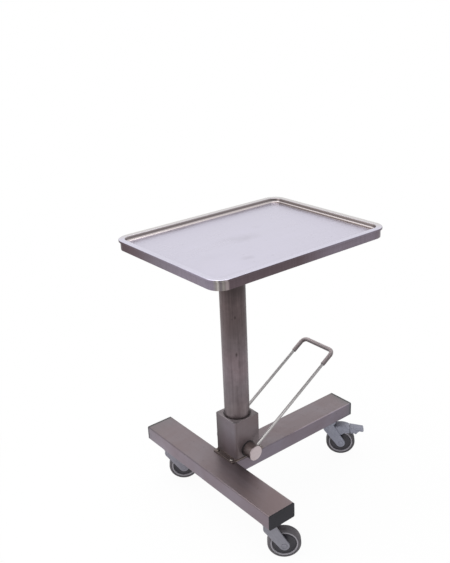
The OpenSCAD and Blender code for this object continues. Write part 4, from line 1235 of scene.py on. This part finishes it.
class TABLE_OT_tray(Operator):
    """Presses the tray: lip, rounded rim, drafted wall, coved floor"""

    bl_idname = "table.tray"
    bl_label = "Tray"

    def execute(self, context):
        looks = context.scene.table_looks.tray
        metal = steel(
            "tray steel", looks.tray_colour, "x", rough=0.30, streak=0.014, cloud=0.03, grime_and_shade=0.25,
            edge=None, warm=(0.96, 0.945, 0.93), extra=self.pressed,
        )
        upper = self.face(looks.rim_width, looks.depth, 0.0)
        under = self.face(looks.rim_width, looks.depth, TRAY_SHEET)
        shape = bmesh.new()
        drawn = shape.verts.layers.float.new("profile")
        outer = sweep(shape, self.rings(upper, looks.corner_steps))
        inner = sweep(shape, self.rings(under[::-1], looks.corner_steps))
        length = 0.0
        for at, ring in enumerate(outer):
            if at:
                length += (Vector(upper[at]) - Vector(upper[at - 1])).length / MM
            for vertex in ring:
                vertex[drawn] = length
        shape.faces.new(outer[-1])
        shape.faces.new(inner[0][::-1])
        join_rings(shape, outer[0], inner[-1])
        finished("tray_shell", shape, "tray", metal, ("tray_pan",), smooth=30.0)
        return {"FINISHED"}

    def rings(self, profile, steps):
        """One outline of the tray for each point of its pressed profile."""
        centre = Vector((TRAY_MIDDLE.x, TRAY_MIDDLE.y, 0))
        half_x, half_y = TRAY_SIZE.x / 2, TRAY_SIZE.y / 2
        return [
            [point + centre for point in ring_points(half_x, half_y, TRAY_CORNER, x, TRAY_HIGH.z + z, steps)]
            for x, z in profile
        ]

    def face(self, rim, depth, inset):
        """The pressed sheet's upper face, or its underside at an inset of the sheet's thickness."""
        roll = (TRAY_CORNER - RIM_ROLL, -RIM_ROLL)
        crest = (TRAY_CORNER - rim + RIM_ROLL, -RIM_ROLL)
        root = (TRAY_CORNER - rim - WALL_DRAFT - FLOOR_COVE, -depth + FLOOR_COVE)
        across, down = crest[0] - root[0], crest[1] - root[1]
        touch = math.acos((FLOOR_COVE + RIM_ROLL) / math.hypot(across, down))
        slant = math.degrees(touch - math.atan2(down, across))
        tight, wide = RIM_ROLL - inset, FLOOR_COVE + inset
        points = [(TRAY_CORNER - inset, -TRAY_LIP), (TRAY_CORNER - inset, -RIM_ROLL - RIM_FLAT)]
        points += bend(roll, tight, 0, 90, PROFILE_STEPS)
        points += [(roll[0] - RIM_FLAT, -inset), (crest[0] + RIM_FLAT, -inset)]
        points += bend(crest, tight, 90, 180 - slant, PROFILE_STEPS)
        points += bend(root, wide, -slant, -90, PROFILE_STEPS)
        points += [(root[0] - FLOOR_FLAT, -depth - inset)]
        return points

    def pressed(self, graph, where, base):
        """The floor's smudges, and painted reflections and painted shade on lip, rim, wall and cove along the
        pressed profile.
        """
        looks = bpy.context.scene.table_looks.tray
        base = self.smudges(graph, where, base)
        at = graph.node("ShaderNodeAttribute", attribute_name="profile", attribute_type="GEOMETRY").outputs["Fac"]
        x, y, _ = graph.split(where)
        far_end = graph.span(x, TRAY_HIGH.x - 46 * MM, TRAY_HIGH.x - 26 * MM)
        reach = graph.plus(graph.math("DIVIDE", x, TRAY_SIZE.x), graph.math("DIVIDE", y, TRAY_SIZE.y))
        centre = TRAY_MIDDLE.x / TRAY_SIZE.x + TRAY_MIDDLE.y / TRAY_SIZE.y
        behind = graph.span(reach, centre - 0.06, centre + 0.06)
        rim = graph.band(at, 5.5, 7.5, 22.5, 24.0)
        cove = graph.times(graph.band(at, 31.0, 33.0, 38.0, 43.5), 0.8)
        wall = graph.band(at, 23.0, 25.0, 30.0, 32.5)
        under = graph.band(at, 26.5, 28.0, 32.2, 33.6)
        foot = graph.times(graph.band(at, 35.6, 36.6, 41.5, 43.5), far_end)
        # Painted reflections on the rim and the cove; painted shade on the wall, its lower part and the far end's
        # foot
        for mask, tone in (
            (rim, graph.mix(behind, (0.62, 0.60, 0.70, 1.0), (0.60, 0.575, 0.57, 1.0))),
            (cove, (0.70, 0.62, 0.575, 1.0)),
            (wall, graph.mix(far_end, (0.38, 0.330, 0.318, 1.0), (0.245, 0.202, 0.182, 1.0))),
            (under, graph.mix(far_end, (0.235, 0.198, 0.192, 1.0), (0.150, 0.120, 0.108, 1.0))),
            (foot, (0.165, 0.132, 0.120, 1.0)),
        ):
            base = graph.mix(mask, base, tone)
        # The lip carries the band's painted room reflections
        lip = under_room(graph, where, tinted(looks.band_colour, 1.0))
        return graph.mix(graph.span(at, 6.2, 5.0), base, lip)

    def smudges(self, graph, where, base):
        """Faint wiped places on the tray's floor."""
        marks = [
            ((x, y, 928.0), (long, wide, 50.0), depth) for x, y, wide, long, depth in (
                (57.0, 1.0, 34.0, 60.0, 0.32), (20.0, 30.0, 24.0, 70.0, 0.15), (-49.0, -139.0, 18.0, 26.0, 0.34),
                (150.0, 60.0, 16.0, 22.0, 0.14), (-120.0, -60.0, 30.0, 40.0, 0.08),
            )
        ]
        return stained(graph, where, base, marks, (45.0, 3.0, 1.1), (1.6, 0.7), (0.36, 0.35, 0.43, 1.0))


class TABLE_OT_casters(Operator):
    """Builds the forks, wheels and tyres of the three casters"""

    bl_idname = "table.casters"
    bl_label = "Casters"

    def execute(self, context):
        looks = context.scene.table_looks.casters
        grey = plastic(
            "fork plastic", looks.fork_colour, rough=0.42, drift=0.10, pebble=900.0, wear=0.35, grime_and_shade=0.6,
            dusty=0.06, extra=self.paler_rear,
        )
        # The braked fork's plastic is the fork plastic painted lighter and bluer: painted light
        braked = plastic(
            "braked fork plastic painted lighter", looks.braked_lit_colour, rough=0.42, drift=0.10, pebble=900.0, wear=0.25,
            grime_and_shade=0.8, dusty=0.06,
        )
        tread = plastic(
            "tyre rubber", looks.tyre_colour, rough=0.62, drift=0.25, pebble=600.0, bump=0.3, wear=0.3,
            dust=(0.185, 0.168, 0.172), dusty=0.3, extra=self.darker_tread,
        )
        pale = plastic("rim plastic", looks.rim_colour, rough=0.40, drift=0.08, grime_and_shade=0.5)
        dark = plastic("disc plastic", looks.disc_colour, rough=0.38, drift=0.15, grime_and_shade=0.4, dusty=0.05)
        zinc = steel("zinc steel", (0.30, 0.30, 0.33), "z", rough=0.40, streak=0.05)
        for caster in CASTERS:
            fork = braked if caster == "braked" else grey
            eased_copy(
                caster + "_fork_moulding", caster + "_fork", looks.edge_radius, caster + "_swivel",
                fork,
            )
            self.wheel(caster, looks.wheel_steps, tread, pale, dark)
            dress(zinc, caster + "_stem")
            dress(fork, caster + "_axle")
        return {"FINISHED"}

    def wheel(self, caster, steps, tread, pale, dark):
        """Spins the tyre, the rim and the two discs round the caster's axle."""
        body = caster + "_wheel"
        joint = JOINTS[caster + "_roll"]
        axle = Vector(joint["axis"]).normalized()
        place = Matrix.Translation(Vector(joint["pos_m"])) @ axle.to_track_quat("Z", "Y").to_matrix().to_4x4()
        low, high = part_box(caster + "_tyre")
        tyre = self.tyre_profile((high.z - low.z) / 2 / MM)
        discs = [[(radius, sign * height) for radius, height in DISC_PROFILE] for sign in (-1, 1)]
        for name, loops, slot, material, node in (
            ("_tread", [both_halves(tyre)], "grey_tyre", tread, "_tyre"),
            ("_rim", [both_halves(RIM_PROFILE)], "pale_plastic", pale, "_rim"),
            ("_discs", discs, "dark_plastic", dark, "_guards"),
        ):
            shape = bmesh.new()
            for loop in loops:
                revolve(shape, loop, place, steps)
            finished(body + name, shape, body, material, (caster + node,), smooth=40.0)

    def tyre_profile(self, radius):
        """Half of a tyre: seat, bead, round shoulder and the crown with its groove."""
        side, shoulder = -WHEEL_HALF, TREAD_SHOULDER
        points = [(WHEEL_SEAT + up, side + inward) for up, inward in TYRE_BEAD]
        points += bend((radius - shoulder, side + shoulder), shoulder, *SHOULDER_ARC)
        return points + [(radius - down, height) for down, height in TYRE_CROWN]

    def darker_tread(self, graph, where, base):
        """The braked wheel, under the stem's far end, has a tyre darkened by painted shade."""
        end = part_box("stem_tube")[1].x
        far_end = graph.span(graph.split(where)[0], end - 0.22, end - 0.18)
        return toned(graph, base, (far_end, (0.60, 0.62, 0.61)))

    def paler_rear(self, graph, where, base):
        """The rear fork, under the cross tube's far end, is painted a little paler: painted light."""
        far_end = graph.span(graph.split(where)[1], AXIS.y + 0.10, AXIS.y + 0.14)
        return toned(graph, base, (far_end, (1.13, 1.11, 1.12)))


class TABLE_OT_brake(Operator):
    """Dresses the brake pedal and its pad"""

    bl_idname = "table.brake"
    bl_label = "Brake"

    def execute(self, context):
        looks = context.scene.table_looks.casters
        grey = bpy.data.materials["braked fork plastic painted lighter"]
        eased_copy(
            "brake_pedal_moulding", "brake_pedal", looks.edge_radius * 0.8, "brake", grey
        )
        dress(plastic("shoe rubber", (0.02, 0.018, 0.018), rough=0.55, grime_and_shade=0.3), "brake_shoe")
        dress(grey, "brake_pin")
        return {"FINISHED"}


STEPS = (
    TABLE_OT_finishes, TABLE_OT_stage, TABLE_OT_base, TABLE_OT_housing, TABLE_OT_screws, TABLE_OT_column,
    TABLE_OT_pedal, TABLE_OT_tray_frame, TABLE_OT_tray, TABLE_OT_casters, TABLE_OT_brake,
)


class TABLE_PT_looks(Panel):
    """Lists the steps and their settings"""

    bl_idname = "TABLE_PT_looks"
    bl_label = "Instrument table"
    bl_space_type = "VIEW_3D"
    bl_region_type = "UI"
    bl_category = "Table"

    def draw(self, context):
        looks = context.scene.table_looks
        for step in STEPS:
            self.layout.operator(step.bl_idname)
        for name in ("base", "column", "pedal", "tray", "casters", "stage"):
            box = self.layout.box()
            box.label(text=name.capitalize())
            settings = getattr(looks, name)
            for field in settings.bl_rna.properties:
                if not field.is_readonly and field.identifier != "name":
                    box.prop(settings, field.identifier)


CLASSES = (
    BaseLooks, ColumnLooks, PedalLooks, TrayLooks, CasterLooks, StageLooks, TableLooks, *STEPS, TABLE_PT_looks,
)


def register():
    for item in CLASSES:
        bpy.utils.register_class(item)
    bpy.types.Scene.table_looks = PointerProperty(type=TableLooks)


def unregister():
    del bpy.types.Scene.table_looks
    for item in reversed(CLASSES):
        bpy.utils.unregister_class(item)


def main():
    register()
    for step in STEPS:
        group, action = step.bl_idname.split(".")
        getattr(getattr(bpy.ops, group), action)()


if __name__ == "__main__":
    main()
